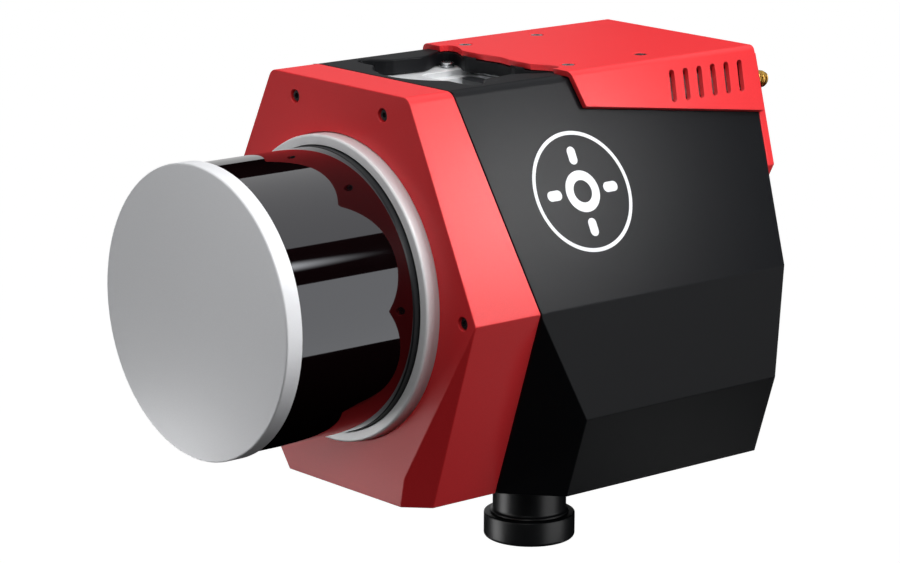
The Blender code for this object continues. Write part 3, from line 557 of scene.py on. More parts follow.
# The same housing parts left black: a spark-textured satin that turns grey where a lamp grazes it.
BLACK_SATIN = grained("spark_textured_housing_black", "#0E0F11", "#0B0C0E", "#121316", 0.44, 0.5, 0.012,
                      Specular_IOR_Level=0.17)
# Lens metal and the head's foot, anodised black and a little smoother.
BLACK_ANODISED = grained("anodised_aluminium_black", "#18191B", "#141517", "#1E2023", 0.36, 0.4, 0.006)
# Cap of the head: bead-blasted aluminium under clear anodising.  The pale film scatters the light, so most
# of it is drawn as a matt white and only a fifth as metal.
CAP_BLASTED = grained("bead_blasted_aluminium_cap", "#E4E5E8", "#DFE0E3", "#E9EAED", 0.45, 0.45, 0.006,
                      metallic=0.2)
# Trim ring turned in the lathe and clear anodised: nearly white, with fine rings round the spin axis.
TRIM_TURNED = turned_finish("turned_aluminium_trim", "#F3F3F4", "#EEEEF0", "#F8F8F9", 0.36, 0.35,
                            metallic=0.1)
# Chassis milled from the solid and lightly blasted: pale and half matt, with faint feed lines.
MILLED_BRIGHT = milled_finish("milled_aluminium_chassis", "#E2E4E6", "#D8DADC", "#ECEEEF", 0.34, 0.5,
                              metallic=0.35)
# Heat sink of cast aluminium behind the vents.
SINK_BRIGHT = milled_finish("finned_aluminium_heat_sink", "#D2D4D6", "#BFC1C3", "#E2E4E6", 0.34, 0.7,
                            metallic=0.6)


def clouded(name, hex_code, dark, light, blotch_mm, detail, roughness, smoothest, roughest, metallic=0.0,
            scratch_mm=0.0, **shader_inputs):
    """A smooth finish whose colour and roughness drift in soft blotches, scratched where a depth is given."""
    material, tree, shader = finish(name, hex_code, roughness, metallic, **shader_inputs)
    blotches = noise_of(tree, pattern_place(tree), blotch_mm, detail)
    if light != dark:
        vary_colour(tree, shader, blotches, dark, light)
    vary_roughness(tree, shader, blotches, smoothest, roughest)
    if scratch_mm:
        raise_surface(tree, shader, blotches, scratch_mm, 0.5)
    return material


# Polycarbonate dyed to pass infrared only: near black with a red depth, moulded to a mirror gloss.
WINDOW_GLOSS = clouded("infrared_polycarbonate_window", "#0A0405", "#080304", "#0D0506", 22.0, 3.0, 0.035,
                       0.025, 0.05, IOR=1.75, Coat_Weight=0.5, Coat_Roughness=0.02,
                       Specular_Tint=(0.88, 0.92, 1.0, 1.0))
# Stainless screw steel, turned: bright with short scratches.
STEEL = clouded("turned_stainless_steel", "#C9CBCE", "#B9BBBE", "#D6D8DB", 0.35, 3.0, 0.24, 0.18, 0.34,
                metallic=1.0, scratch_mm=0.004)
# Gold flash over brass: warm, smooth, slightly cloudy.
GOLD = clouded("gold_plated_brass", "#D9B25A", "#CFA44C", "#E3BF6C", 0.8, 3.0, 0.24, 0.18, 0.32, metallic=1.0)
# Multi-coated lens glass over a dark barrel: nearly black, with a violet and green reflection, and dust.
GLASS = clouded("coated_optical_glass", "#07080D", "#07080D", "#07080D", 1.5, 4.0, 0.02, 0.015, 0.04,
                IOR=1.7, Thin_Film_Thickness=430.0, Thin_Film_IOR=1.38)
# Clear green light pipe of acrylic, frosted on the inside.
GREEN_PIPE = clouded("green_acrylic_light_pipe", "#1FA34A", "#178C3E", "#35B95F", 0.5, 2.0, 0.18, 0.12, 0.26,
                     Transmission_Weight=0.3)
# Pad-printed white ink: matt, thin, slightly uneven.
WHITE_INK = clouded("pad_printed_white_ink", "#E9EAEE", "#DFE0E5", "#F0F1F4", 3.0, 4.0, 0.5, 0.42, 0.56)


def board_finish():
    """Glass-epoxy board: green solder mask, with the copper tracks a little lighter under it."""
    material, tree, shader = finish("solder_masked_circuit_board", "#0E4B2C", 0.38)
    place = pattern_place(tree)
    tracks = add_node(tree, "ShaderNodeTexBrick", {
        "Vector": place, "Scale": 1 / (4.0 * MM), "Mortar Size": 0.05, "Color1": hex_colour("#0D4528"),
        "Color2": hex_colour("#11522F"), "Mortar": hex_colour("#2C7A44")})
    tree.links.new(tracks.outputs["Color"], shader.inputs["Base Color"])
    raise_surface(tree, shader, tracks.outputs["Fac"], 0.03, 0.4)
    return material


def coil_finish():
    """Enamelled copper winding: the wires show as close bright bands."""
    material, tree, shader = finish("enamelled_copper_winding", "#B4632E", 0.32, 0.9)
    place = pattern_place(tree)
    wires = add_node(tree, "ShaderNodeTexWave", {
        "Vector": place, "Scale": WAVE_PERIOD / (0.8 * MM), "Distortion": 1.0}, wave_type="BANDS",
        bands_direction="Y").outputs["Fac"]
    vary_colour(tree, shader, wires, "#8C451C", "#C97B42")
    raise_surface(tree, shader, wires, 0.1, 0.6)
    return material


BOARD = board_finish()
COPPER = coil_finish()
# Module cases and small mouldings of glass-filled nylon: dark, with a coarser moulded grain.
NYLON = grained("glass_filled_nylon_black", "#1B1C1E", "#151618", "#232427", 0.5, 0.7, 0.02)
# Sintered rotor magnets: dark grey, dull.
MAGNET = grained("sintered_magnet_nickel_plated", "#55575A", "#4A4C4F", "#606266", 0.4, 0.9, 0.01,
                 metallic=0.8)
# Die-cast and machined instrument modules inside.
CAST = grained("die_cast_aluminium", "#B8BABD", "#A9ABAE", "#C6C8CB", 0.42, 0.8, 0.02, metallic=0.7)


# ---- planes of the faceted housing ----
def plane_through(first, second, third, inside):
    """Outward normal of the plane through three points, away from an inside point."""
    first, second, third = Vector(first), Vector(second), Vector(third)
    normal = (second - first).cross(third - first).normalized()
    return -normal if normal.dot(Vector(inside) - first) > 0 else normal


def seam_y(z):
    return SEAM_Y - SEAM_SLOPE * z


def rear_y(z):
    return REAR_Y + REAR_TOP_SLOPE * max(z, 0)


SIDE_SLOPE = (WAIST_HALF - TOP_HALF) / (TOP_Z - WAIST_Z)


def side_x(z, outwards=0.0):
    """Half width of the upper side facet at a height, moved outwards square to the facet."""
    return TOP_HALF + (TOP_Z - z) * SIDE_SLOPE + outwards / UPPER_SIDE.x


UPPER_SIDE = Vector((TOP_Z - WAIST_Z, 0, WAIST_HALF - TOP_HALF)).normalized()
SEAM = Vector((0, 1, SEAM_SLOPE)).normalized()
REAR_UPPER = Vector((0, 1, -REAR_TOP_SLOPE)).normalized()
CHEEK_POINT = (WAIST_HALF, 0, WAIST_Z)
CHEEK = plane_through(CHEEK_POINT, (35.6, 0, CHIN_Z), (38.8, 10.2, BOTTOM_Z), (0, 20, 0))
CHIN_POINT = (0, 0, CHIN_Z)
CHIN = plane_through(CHIN_POINT, (30, 0, CHIN_Z), (0, 2.3, BOTTOM_Z), (0, 20, 0))
JOWL_POINT = (WAIST_HALF, seam_y(WAIST_Z), WAIST_Z)
JOWL = plane_through(JOWL_POINT, (CHIN_HALF, seam_y(BOTTOM_Z), BOTTOM_Z), (FOOT_HALF, 54.6, BOTTOM_Z),
                     (0, 90, 0))


def inset_outline(half_outline, inset):
    """Move a right-hand outline inwards by an equal wall thickness."""
    points = [Vector(point) for point in half_outline]
    lines = [(Vector((0, points[0].y)), points[0])]
    lines += [(points[i], points[i + 1]) for i in range(len(points) - 1)]
    lines.append((points[-1], Vector((0, points[-1].y))))
    moved = []
    for start, end in lines:
        along = (end - start).normalized()
        moved.append((start + Vector((along.y, -along.x)) * inset, along))
    corners = []
    for (start_a, along_a), (start_b, along_b) in zip(moved, moved[1:]):
        offset = start_b - start_a
        cross = along_a.x * along_b.y - along_a.y * along_b.x
        reach = (offset.x * along_b.y - offset.y * along_b.x) / cross
        corners.append(tuple(start_a + along_a * reach))
    return corners


def opening_outline(clearance=0.0, steps=144):
    """The lobed opening over the mount as one flowing line: the furthest reach of its disc, its straight
    sides and its four finger lobes in each direction, eased where they meet."""
    half = OPENING_RADIUS - 1

    def reach(angle):
        way = Vector((cos(angle), sin(angle)))
        furthest = OPENING_RADIUS
        across = half / max(abs(way.x), 1e-6)
        if -6 <= way.y * across <= 17:
            furthest = max(furthest, across)
        for x, y in LOBES:
            middle = Vector((x, y - OPENING_Y))
            along = way.dot(middle)
            inside = along * along - middle.length_squared + LOBE_RADIUS ** 2
            if inside > 0 and along > 0:
                furthest = max(furthest, along + sqrt(inside))
        return furthest

    sharp = [reach(2 * pi * i / steps) for i in range(steps)]
    spread = range(-4, 5)
    weights = [exp(-(k / 2.2) ** 2) for k in spread]
    points = []
    for i in range(steps):
        eased = sum(w * sharp[(i + k) % steps] for w, k in zip(weights, spread)) / sum(weights)
        angle = 2 * pi * i / steps
        eased += clearance
        points.append((eased * cos(angle), OPENING_Y + eased * sin(angle)))
    return points


# ---- housing ----
FRONT_OUTLINE = [(TOP_HALF, TOP_Z), (WAIST_HALF, WAIST_Z), (CHIN_HALF, BOTTOM_Z)]
BODY_OUTLINE = [(TOP_HALF, TOP_Z), (WAIST_HALF, WAIST_Z), (WAIST_HALF, KNEE_Z), (FOOT_HALF, BOTTOM_Z)]


def eased_outline(half_outline):
    """The housing's cross section with its two long top edges rounded."""
    outline = mirrored(half_outline)
    return rounded(outline, [EDGE_ROUND] + [0] * (len(outline) - 2) + [EDGE_ROUND], 8)


def make_front_housing():
    mesh = prism("front", eased_outline(FRONT_OUTLINE), 0, 45, "Y")
    slice_off(mesh, (0, SEAM_Y, 0), SEAM)
    slice_both(mesh, CHEEK_POINT, CHEEK)
    slice_off(mesh, CHIN_POINT, CHIN)
    housing = new_object("housing_front_red", mesh)
    cut(housing, prism("hollow", mirrored(inset_outline(FRONT_OUTLINE, SIDE_WALL)), FRONT_WALL, 60, "Y"))
    cut(housing, cylinder((0, 0, 0), TRIM_RADIUS + GAP, -5, FRONT_WALL + 5, "Y", 128))
    for x, z in FRONT_SCREWS:
        stepped = [(0, 14), (1.3, 14), (1.3, 6), (2.3, 6), (2.3, -2), (0, -2)]
        cut(housing, lathe("counterbore", stepped, (x, 0, z), "Y", 32))
    soften(housing, 0.32)
    return finish_piece(housing, RED_ANODISED, ["front_housing"])


def make_body_shell():
    rear = [(REAR_FOOT_Y, BOTTOM_Z - 1), (REAR_KNEE_Y, KNEE_Z), (REAR_Y, WAIST_Z),
            (rear_y(TOP_Z + 1), TOP_Z + 1)]
    seam = [(seam_y(TOP_Z + 1) + GAP, TOP_Z + 1), (seam_y(BOTTOM_Z - 1) + GAP, BOTTOM_Z - 1)]
    shell = new_object("housing_body_black", prism("body", eased_outline(BODY_OUTLINE), 10, 170, "Y"))
    combine(shell, prism("side_view", rear + seam, -80, 80, "X"), "INTERSECT")
    slice_both(shell.data, JOWL_POINT, JOWL, -GAP * 0.5)
    inner = inset_outline(BODY_OUTLINE, BODY_WALL)
    inner[0] = (inner[0][0] - 1.2, TOP_Z - DECK_WALL)
    hollow = new_object("hollow", prism("hollow", mirrored(inner), 0, 170, "Y"))
    rear_inner = [(y - BODY_WALL, z) for y, z in rear] + [(-5, TOP_Z), (-5, BOTTOM_Z)]
    combine(hollow, prism("side_view", rear_inner, -80, 80, "X"), "INTERSECT")
    slice_both(hollow.data, JOWL_POINT, JOWL, BODY_WALL)
    cut(shell, mesh_alone(hollow))
    cut(shell, prism("opening", opening_outline(), 55, 80, "Z"))
    cut(shell, box("cover_recess", (-60, COVER_FRONT_Y - GAP, COVER_Z - GAP), (60, 180, 80)))
    cut(shell, cylinder((0, LENS_Y, 0), BARREL_RADIUS + GAP, -80, -60, "Z", 64))
    for x, y in COVER_SCREWS:
        cut(shell, cylinder((x, y, 0), 1.3, 50, 80, "Z", 16))
    for side in (-1, 1):
        cut(shell, vent_slab(side, 4.0, -6.0, 1.5))
    for x, z, radius in REAR_PORTS:
        cut(shell, port_hole(x, z, radius))

    def opening_rim(p):
        return p.z > TOP_Z - 0.2 and hypot(p.x, p.y - OPENING_Y) < 36 and p.y < COVER_FRONT_Y - 1

    soften(shell, 0.3, [(opening_rim, 0.6)], 4)
    return finish_piece(shell, BLACK_SATIN, ["body_shell"])


def facet_matrix(side):
    """Axes of an upper side facet: out of it, along the body, and up its slope."""
    outward = Vector((side * UPPER_SIDE.x, 0, UPPER_SIDE.z))
    upslope = Vector((-side * UPPER_SIDE.z, 0, UPPER_SIDE.x))
    turn = Matrix((outward, Vector((0, 1, 0)), upslope)).transposed().to_4x4()
    return Matrix.Translation(Vector((side * TOP_HALF, 0, TOP_Z)) * MM) @ turn


def on_facet(mesh, side):
    """Set a mesh made in a facet's own axes in its place, right way out."""
    mesh.transform(facet_matrix(side))
    if side < 0:
        mesh.flip_normals()
    return mesh


def slope_length(z):
    """Distance up the facet from its top edge to a height (negative below it)."""
    return (z - TOP_Z) / UPPER_SIDE.x


def vent_slab(side, out, inwards, shrink):
    low = (inwards, VENT_Y[0] + shrink, slope_length(VENT_Z[0]) + shrink)
    high = (out, VENT_Y[1] - shrink, slope_length(VENT_Z[1]) - shrink)
    return on_facet(box("vent_slab", low, high), side)


# x, z and radius of the two coaxial jacks, the power and data ports, the button and the light
REAR_PORTS = [(-34.5, 60.0, 3.2), (34.5, 60.0, 3.2), (-22.0, 38.0, 6.5), (22.0, 38.0, 6.5),
              (0.0, 60.0, 4.4), (0.0, 45.0, 1.6)]


def panel_matrix(x, z):
    """Axes of the rear panel's outer face at a point: across it, out of it, and up its slope."""
    y = REAR_Y + REAR_TOP_SLOPE * z + (GAP + PANEL_THICK) / REAR_UPPER.y
    lean = -atan(REAR_TOP_SLOPE)
    return Matrix.Translation(Vector((x, y, z)) * MM) @ Matrix.Rotation(lean, 4, "X")


def port_hole(x, z, radius):
    mesh = cylinder((0, 0, 0), radius + GAP, -20, 8, "Y", 40)
    mesh.transform(panel_matrix(x, z))
    return mesh


def make_slot_cutters(side):
    """The slanted round-ended vent slots of one flap, grown in a row from one slot."""
    pitch = (VENT_Y[1] - VENT_Y[0]) / SLOT_COUNT
    middle = slope_length((VENT_Z[0] + VENT_Z[1]) / 2)
    half = slope_length(VENT_Z[1]) - middle - SLOT_WIDTH / 2
    upper = [(y, z + half) for y, z in arc((0, 0), SLOT_WIDTH / 2, 0, 180, 10)]
    lower = [(-y, -z) for y, z in upper]
    first_y = VENT_Y[0] + pitch / 2
    slant = [(first_y + y + 0.25 * z, z + middle) for y, z in upper + lower]
    return on_facet(copied(prism("slot", slant, -2, 6, "X"), SLOT_COUNT, (0.0, pitch, 0.0)), side)


def make_top_cover():
    """Folded red sheet: top, two bends and two flaps, with countersinks and vent slots."""
    crown = COVER_Z + COVER_THICK
    outward, drop = GAP + COVER_THICK, 30.0
    half = [(side_x(crown, outward), crown), (side_x(TOP_Z - drop, outward), TOP_Z - drop),
            (side_x(TOP_Z - drop, GAP), TOP_Z - drop), (side_x(COVER_Z, GAP), COVER_Z)]
    bends = [COVER_BEND, 0, 0, COVER_BEND - COVER_THICK]
    mesh = prism("cover", rounded(mirrored(half), bends + bends[::-1], 6), COVER_FRONT_Y, 175, "Y")
    slice_off(mesh, (0, REAR_Y + COVER_REAR_OVERHANG, 0), REAR_UPPER)
    edge = Vector(FLAP_REAR) - Vector(FLAP_FRONT)
    under = edge.cross(UPPER_SIDE).normalized()
    slice_both(mesh, FLAP_FRONT, under if under.z < 0 else -under)
    lip = plane_through((40, 71.0, 72), (44.4, 73.6, 60.3), (30, 71.0, 72), (0, 100, 60))
    slice_off(mesh, (40, 70.6, 72), lip)
    cover = new_object("top_cover_red", mesh)
    cut(cover, prism("opening", opening_outline(0.5), 60, 80, "Z"))
    for x, y in COVER_SCREWS:
        cut(cover, lathe("countersink", [(0, 1), (3.8, 1), (1.5, -1.3), (1.5, -4), (0, -4)],
                         (x, y, crown), "Z", 32))
    for side in (-1, 1):
        cut(cover, make_slot_cutters(side))
    soften(cover, 0.18, segments=2)
    return finish_piece(cover, RED_ANODISED, ["top_cover"])


def make_rear_panel():
    outline = [(side_x(69.0), 69.0), (side_x(32.0), 32.0), (50.0, 16.0)]
    mesh = prism("rear_panel", mirrored(outline), 130, 190, "Y")
    slice_off(mesh, (0, REAR_Y + GAP + PANEL_THICK, 0), REAR_UPPER)
    slice_off(mesh, (0, REAR_Y + GAP, 0), -REAR_UPPER)
    panel = new_object("rear_panel_red", mesh)
    for x, z, radius in REAR_PORTS:
        cut(panel, port_hole(x, z, radius))
    soften(panel, 0.35)
    return finish_piece(panel, RED_ANODISED, ["rear_panel"])


make_front_housing()
make_body_shell()
make_top_cover()
make_rear_panel()


# ---- scanning head ----
def head_piece(name, profile, material, node):
    turned_piece(name, profile, material, [node], axis="Y", steps=192)


def make_head():
    cap = ([(0, CAP_FRONT_Y)] + arc((HEAD_RADIUS - 0.7, CAP_FRONT_Y + 0.7), 0.7, -90, 0, 5)
           + [(HEAD_RADIUS, CAP_BACK_Y - 0.2), (HEAD_RADIUS - 0.2, CAP_BACK_Y), (44.7, CAP_BACK_Y),
              (44.7, CAP_BACK_Y - 2.5), (0, CAP_BACK_Y - 2.5)])
    head_piece("head_cap_disc", cap, CAP_BLASTED, "head_cap")
    wall = WINDOW_RADIUS - WINDOW_WALL
    window = [(WINDOW_RADIUS, CAP_BACK_Y + GAP), (WINDOW_RADIUS, BASE_STEP_Y - GAP),
              (wall, BASE_STEP_Y - GAP), (wall, CAP_BACK_Y + GAP)]
    head_piece("head_window_ring", window, WINDOW_GLOSS, "head_window")
    foot = [(BASE_RADIUS - 0.4, BASE_STEP_Y), (BASE_RADIUS, BASE_STEP_Y + 0.4), (BASE_RADIUS, BASE_BACK_Y),
            (8.3, BASE_BACK_Y), (8.3, 2.0), (10.8, 2.0), (10.8, BASE_BACK_Y - 4), (45.5, BASE_BACK_Y - 4),
            (45.5, BASE_STEP_Y)]
    head_piece("head_foot", foot, BLACK_ANODISED, "head_base")
    inner = BASE_RADIUS + GAP
    trim = (arc((TRIM_RADIUS - 1.0, TRIM_FRONT_Y + 1.0), 1.0, -90, 0, 8)
            + [(TRIM_RADIUS, TRIM_BACK_Y), (inner, TRIM_BACK_Y), (inner, TRIM_FRONT_Y + 0.15),
               (inner + 0.15, TRIM_FRONT_Y)])
    head_piece("head_trim_bright", trim, TRIM_TURNED, "head_trim_ring")


make_head()


# ---- chassis and mount ----
def make_chassis():
    low, top = SEAT_Z - CHASSIS_THICK, SEAT_Z
    plate = new_object("chassis_milled", slab((-33, 27.5), (33, 132), 2.0, low, top, 4))
    # half width, start and end along the body of each ledge, and of the pocket sunk in it
    for ledge, pocket in [((19, 29.8, 41.8), (15, 32.5, 40.8)), ((20, 52.2, 77.9), (16, 53.4, 76.9))]:
        for (half, start, end), corner, floor in ((ledge, 3.0, top - 2), (pocket, 2.2, POCKET_FLOOR)):
            cut(plate, slab((-half, start), (half, end), corner, floor, top + 1))
    for x in (-22.0, 0.0, 22.0):
        cut(plate, slab((x - 9, 86), (x + 9, 126), 2.0, low - 1, low + 4.2))
    for x, y in LOBES + COVER_SCREWS:
        cut(plate, cylinder((x, y, 0), 1.3, low - 1, top + 1, "Z", 16))
    soften(plate, 0.25)
    finish_piece(plate, MILLED_BRIGHT, ["chassis_plate"])


def make_contact_block():
    floor = POCKET_FLOOR + GAP
    block = new_object("contact_block", slab((-10, 34.0), (10, 39.5), 0.8, floor, floor + 3.4, 4))
    soften(block, 0.25)
    finish_piece(block, NYLON, ["mount_contacts"])
    profile = [(0, 4.3), (0.35, 4.15), (0.55, 3.8), (0.55, 2.4), (0, 2.4)]
    pin = lathe("pin", profile, (-7.7, 35.6, floor), "Z", 12)
    rows = copied(copied(pin, 8, (2.2, 0.0, 0.0)), 2, (0.0, 2.3, 0.0))
    finish_piece(smooth(new_object("contact_pins", rows)), GOLD)


def make_latch():
    floor = POCKET_FLOOR + GAP
    bar = slab((-11.5, LATCH_Y - 3), (11.5, LATCH_Y + 3), 2.95, floor, floor + 3.6, 8)
    latch = new_object("latch_bar", bar)
    soften(latch, 0.4)
    finish_piece(latch, BLACK_ANODISED, ["release_latch"], "latch")


def make_spring():
    """The latch's return spring, as long as it is with the latch fully back."""
    start, end = LATCH_Y + 3 + 3.0 + 0.2, 76.7
    coil = wound(6.0, 1.15, end - start - 0.7, 0.3)
    coil.transform(Matrix.Translation(Vector((0, start + 0.35, POCKET_FLOOR + GAP + 1.8)) * MM))
    finish_piece(smooth(new_object("latch_spring_coil", coil)), STEEL, ["latch_spring"])


def screw_set(place, points, material, turn=0.0, **sizes):
    """Four screws, their sizes in millimetres; a turn of 90 degrees makes them face forwards."""
    sizes = {label: size * MM for label, size in sizes.items()}
    screws = grown(SCREWS, place + "_screw_set", points_mesh(points), material,
                   Rotation=(radians(turn), 0.0, 0.0), **sizes)
    finish_piece(smooth(screws), None, ["%s_screw_%d" % (place, i) for i in (1, 2, 3, 4)])


def make_screws():
    screw_set("chassis", [(x, y, SEAT_Z + 1.65) for x, y in LOBES], STEEL, Head_Radius=2.6, Under_Radius=2.6,
              Head_Height=1.4, Rim=0.25, Socket_Radius=1.35, Shank_Radius=1.0, Shank_Length=5.2)
    crown = COVER_Z + COVER_THICK
    screw_set("cover", [(x, y, crown - 0.28) for x, y in COVER_SCREWS], STEEL, Head_Radius=2.3,
              Under_Radius=1.0, Head_Height=1.3, Rim=0.12, Socket_Radius=1.15, Shank_Radius=1.05,
              Shank_Length=9.0)
    screw_set("front", [(x, 1.0, z) for x, z in FRONT_SCREWS], BLACK_ANODISED, 90, Head_Radius=1.9,
              Under_Radius=1.9, Head_Height=2.2, Rim=0.2, Socket_Radius=1.05, Shank_Radius=1.0,
              Shank_Length=9.2)


make_chassis()
make_contact_block()
make_latch()
make_spring()
make_screws()


# ---- mapping camera ----
def make_lens():
    centre = (0, LENS_Y, 0)
    root_z = BOTTOM_Z + BODY_WALL
    nose = 10.6
    # the barrel flares where it meets the ring, and the inside is stepped to keep stray light out
    steps_inside = []
    for i in range(6):
        z = RING_BOTTOM_Z + 5.2 + 1.5 * i
        steps_inside += [(8.4, z), (8.4, z + 0.8), (7.9, z + 0.8), (7.9, z + 1.5)]
    barrel = ([(0.0, root_z), (BARREL_RADIUS - 0.3, root_z), (BARREL_RADIUS, root_z - 0.3),
               (BARREL_RADIUS, RING_TOP_Z + 1.9)]
              + arc((BARREL_RADIUS + 1.2, RING_TOP_Z + 1.9), 1.2, 180, 250, 6)
              + [(BARREL_RADIUS + 1.0, RING_TOP_Z + GAP), (nose, RING_TOP_Z + GAP),
                 (nose, RING_BOTTOM_Z + 1.3), (nose - 0.3, RING_BOTTOM_Z + 1.0),
                 (9.1, RING_BOTTOM_Z + 1.0), (8.4, RING_BOTTOM_Z + 1.9)]
              + steps_inside + [(7.6, -90.0), (0.0, -90.0)])
    turned_piece("lens_barrel_black", barrel, BLACK_ANODISED, ["lens_barrel"], centre)
    glass = ([(0, RING_BOTTOM_Z + 4.6), (8.1, RING_BOTTOM_Z + 4.6), (8.1, RING_BOTTOM_Z + 3.4)]
             + [(8.1 * cos(a), RING_BOTTOM_Z + 3.4 - 1.6 * sin(a))
                for a in (radians(90 * i / 8) for i in range(1, 8))]
             + [(0, RING_BOTTOM_Z + 1.8)])
    turned_piece("lens_front_element", glass, GLASS, ["lens_front_glass"], centre, steps=64)
    ring = (arc((RING_RADIUS - 0.5, RING_TOP_Z - 0.5), 0.5, 90, 0, 4)
            + arc((RING_RADIUS - 1.4, RING_BOTTOM_Z + 1.4), 1.4, 0, -90, 8)
            + arc((nose + GAP + 1.2, RING_BOTTOM_Z + 1.2), 1.2, -90, -180, 6)
            + [(nose + GAP, RING_TOP_Z)])
    turned_piece("lens_focus_ring_black", ring, BLACK_ANODISED, ["lens_focus_ring"], centre,
                 steps=128, body="focus_ring")


make_lens()


# ---- rear fittings ----
def panel_piece(name, mesh, place, material, nodes=(), body="root"):
    """A mesh made along Y, outwards from zero, as a piece that sits square on the rear panel."""
    mesh.transform(panel_matrix(*place))
    finish_piece(smooth(new_object(name, mesh)), material, nodes, body)


def make_antenna_jack(side, place):
    body = [(0, 6.0), (2.35, 6.0), (2.35, 9.3), (2.6, 9.3), (2.75, 9.1), (2.75, 0.35), (3.1, 0.35),
            (3.1, -9.0), (0, -9.0)]
    shell = lathe("jack", body, (0, 0, 0), "Y", 48)
    hexagon = [(4.6 * cos(a), 4.6 * sin(a)) for a in (radians(60 * i + 30) for i in range(6))]
    nut = mesh_alone(soften(new_object("nut", prism("nut", hexagon, 0.35, 1.9, "Y")), 0.2, segments=2))
    centre_pin = lathe("pin", [(0, 7.6), (0.45, 7.2), (0.45, 5.9), (0, 5.9)], (0, 0, 0), "Y", 16)
    pitch, threaded = 0.7, 6.4
    thread = wound(threaded / pitch, 2.78, threaded, 0.3)
    thread.transform(Matrix.Translation((0, 2.3 * MM, 0)))
    panel_piece("antenna_jack_" + side, merge_meshes("jack", [shell, nut, centre_pin, thread]), place, GOLD,
                ["antenna_port_" + side])


def make_round_port(name, node, x, z, radius, pins):
    """Round locking connector: a flanged shell with a gripped collar, an insert and its pins."""
    profile = [(0, 2.5), (radius - 1.3, 2.5), (radius - 1.3, 5.7), (radius - 1.0, 6.0), (radius - 0.3, 6.0),
               (radius, 5.7), (radius, 1.9), (radius + 1.1, 1.9), (radius + 1.4, 1.6), (radius + 1.4, GAP),
               (radius, GAP), (radius, -12.0), (0, -12.0)]
    shell = lathe("shell", profile, (0, 0, 0), "Y", 72)
    tooth = prism("tooth", [(radius - 0.05, -0.28), (radius + 0.28, -0.14), (radius + 0.28, 0.14),
                            (radius - 0.05, 0.28)], 2.4, 5.2, "Z")
    teeth = 36
    grip = copied(tooth, teeth, turn=2 * pi / teeth)
    grip.transform(AXES["Y"])
    panel_piece(name, merge_meshes(name, [shell, grip]), (x, z), CAST, [node])
    insert = [(0, 4.3), (radius - 2.3, 4.3), (radius - 2.0, 4.0), (radius - 2.0, 2.55), (0, 2.55)]
    panel_piece(name + "_insert", lathe("insert", insert, (0, 0, 0), "Y", 48), (x, z), NYLON)
    pin = lathe("pin", [(0, 5.4), (0.35, 5.2), (0.45, 4.9), (0.45, 4.2), (0, 4.2)], (2.6, 0, 0), "Z", 12)
    ring = copied(pin, pins, turn=2 * pi / pins)
    ring.transform(AXES["Y"])
    panel_piece(name + "_pins", ring, (x, z), GOLD)


def make_button(place):
    knob = [(0, 1.75), (2.6, 1.9), (3.3, 2.2)] + arc((3.9, 1.7), 0.5, 90, 0, 4) + [(4.4, -6.0), (0, -6.0)]
    panel_piece("power_button_cap", lathe("knob", knob, (0, 0, 0), "Y", 64), place, RED_ANODISED,
                ["power_button"], "button")


def make_status_light(place):
    dome = [(1.6 * sin(a), 0.3 + 0.5 * cos(a)) for a in (radians(18 * i) for i in range(1, 6))]
    lens = [(0, 0.8)] + dome + [(1.6, -5.0), (0, -5.0)]
    panel_piece("status_light_lens", lathe("lens", lens, (0, 0, 0), "Y", 32), place, GREEN_PIPE,
                ["status_light"])


def make_rear_fittings():
    left, right, power, data, button, light = REAR_PORTS
    make_antenna_jack("left", left[:2])
    make_antenna_jack("right", right[:2])
    make_round_port("power_connector", "power_port", *power, pins=4)
    make_round_port("data_connector", "data_port", *data, pins=8)
    make_button(button[:2])
    make_status_light(light[:2])


make_rear_fittings()


# ---- vents and printed marks ----
def make_heat_sinks():
    """Finned plates behind the vent slots."""
    low_z, high_z = slope_length(VENT_Z[0]) + 1.8, slope_length(VENT_Z[1]) - 1.8
    first, last = VENT_Y[0] + 1.8, VENT_Y[1] - 1.8
    pitch, fin = 2.6, 1.1
    count = int((last - first - fin) / pitch) + 1
    for side, name in ((-1, "left"), (1, "right")):
        plate = box("plate", (-2.2, first, low_z), (-1.3, last, high_z))
        one = box("fin", (-1.35, first, low_z), (-0.3, first + fin, high_z))
        fins = copied(one, count, (0.0, pitch, 0.0))
        sink = new_object("heat_sink_" + name, on_facet(merge_meshes("sink", [plate, fins]), side))
        finish_piece(sink, SINK_BRIGHT, ["vent_screen_" + name])


MARK_PLACE = (62.5, 34.0)       # y and z of the printed mark's centre on each upper facet
MARK_RADIUS = 21.5
INK_THICK, INK_UNDER = 0.06, -0.1      # the ink's face, and its back just under the painted surface


def make_marks():
    """Printed reference mark on each upper facet: a circle round a sighting target, which shows where
    the scanner's own axes are measured from."""
    y, z = MARK_PLACE
    to_facet = Matrix.Translation(Vector((0, y, slope_length(z))) * MM) @ AXES["X"]

    def ring(outer, inner):
        profile = [(inner, INK_THICK), (outer, INK_THICK), (outer, INK_UNDER), (inner, INK_UNDER)]
        return lathe("ring", profile, (0, 0, 0), "Z", 128)

    reach, start, wide = 16.0, 9.6, 3.6
    stroke = slab((start, -wide / 2), (reach, wide / 2), wide / 2 - 0.01, INK_UNDER, INK_THICK, 8)
    strokes = copied(stroke, 4, turn=pi / 2)
    for side, name in ((-1, "left"), (1, "right")):
        mark = merge_meshes("mark", [ring(MARK_RADIUS, MARK_RADIUS - 1.35), ring(7.4, 4.0), strokes])
        mark.transform(to_facet)
        finish_piece(new_object("reference_mark_" + name, on_facet(mark, side)), WHITE_INK)


make_heat_sinks()
make_marks()


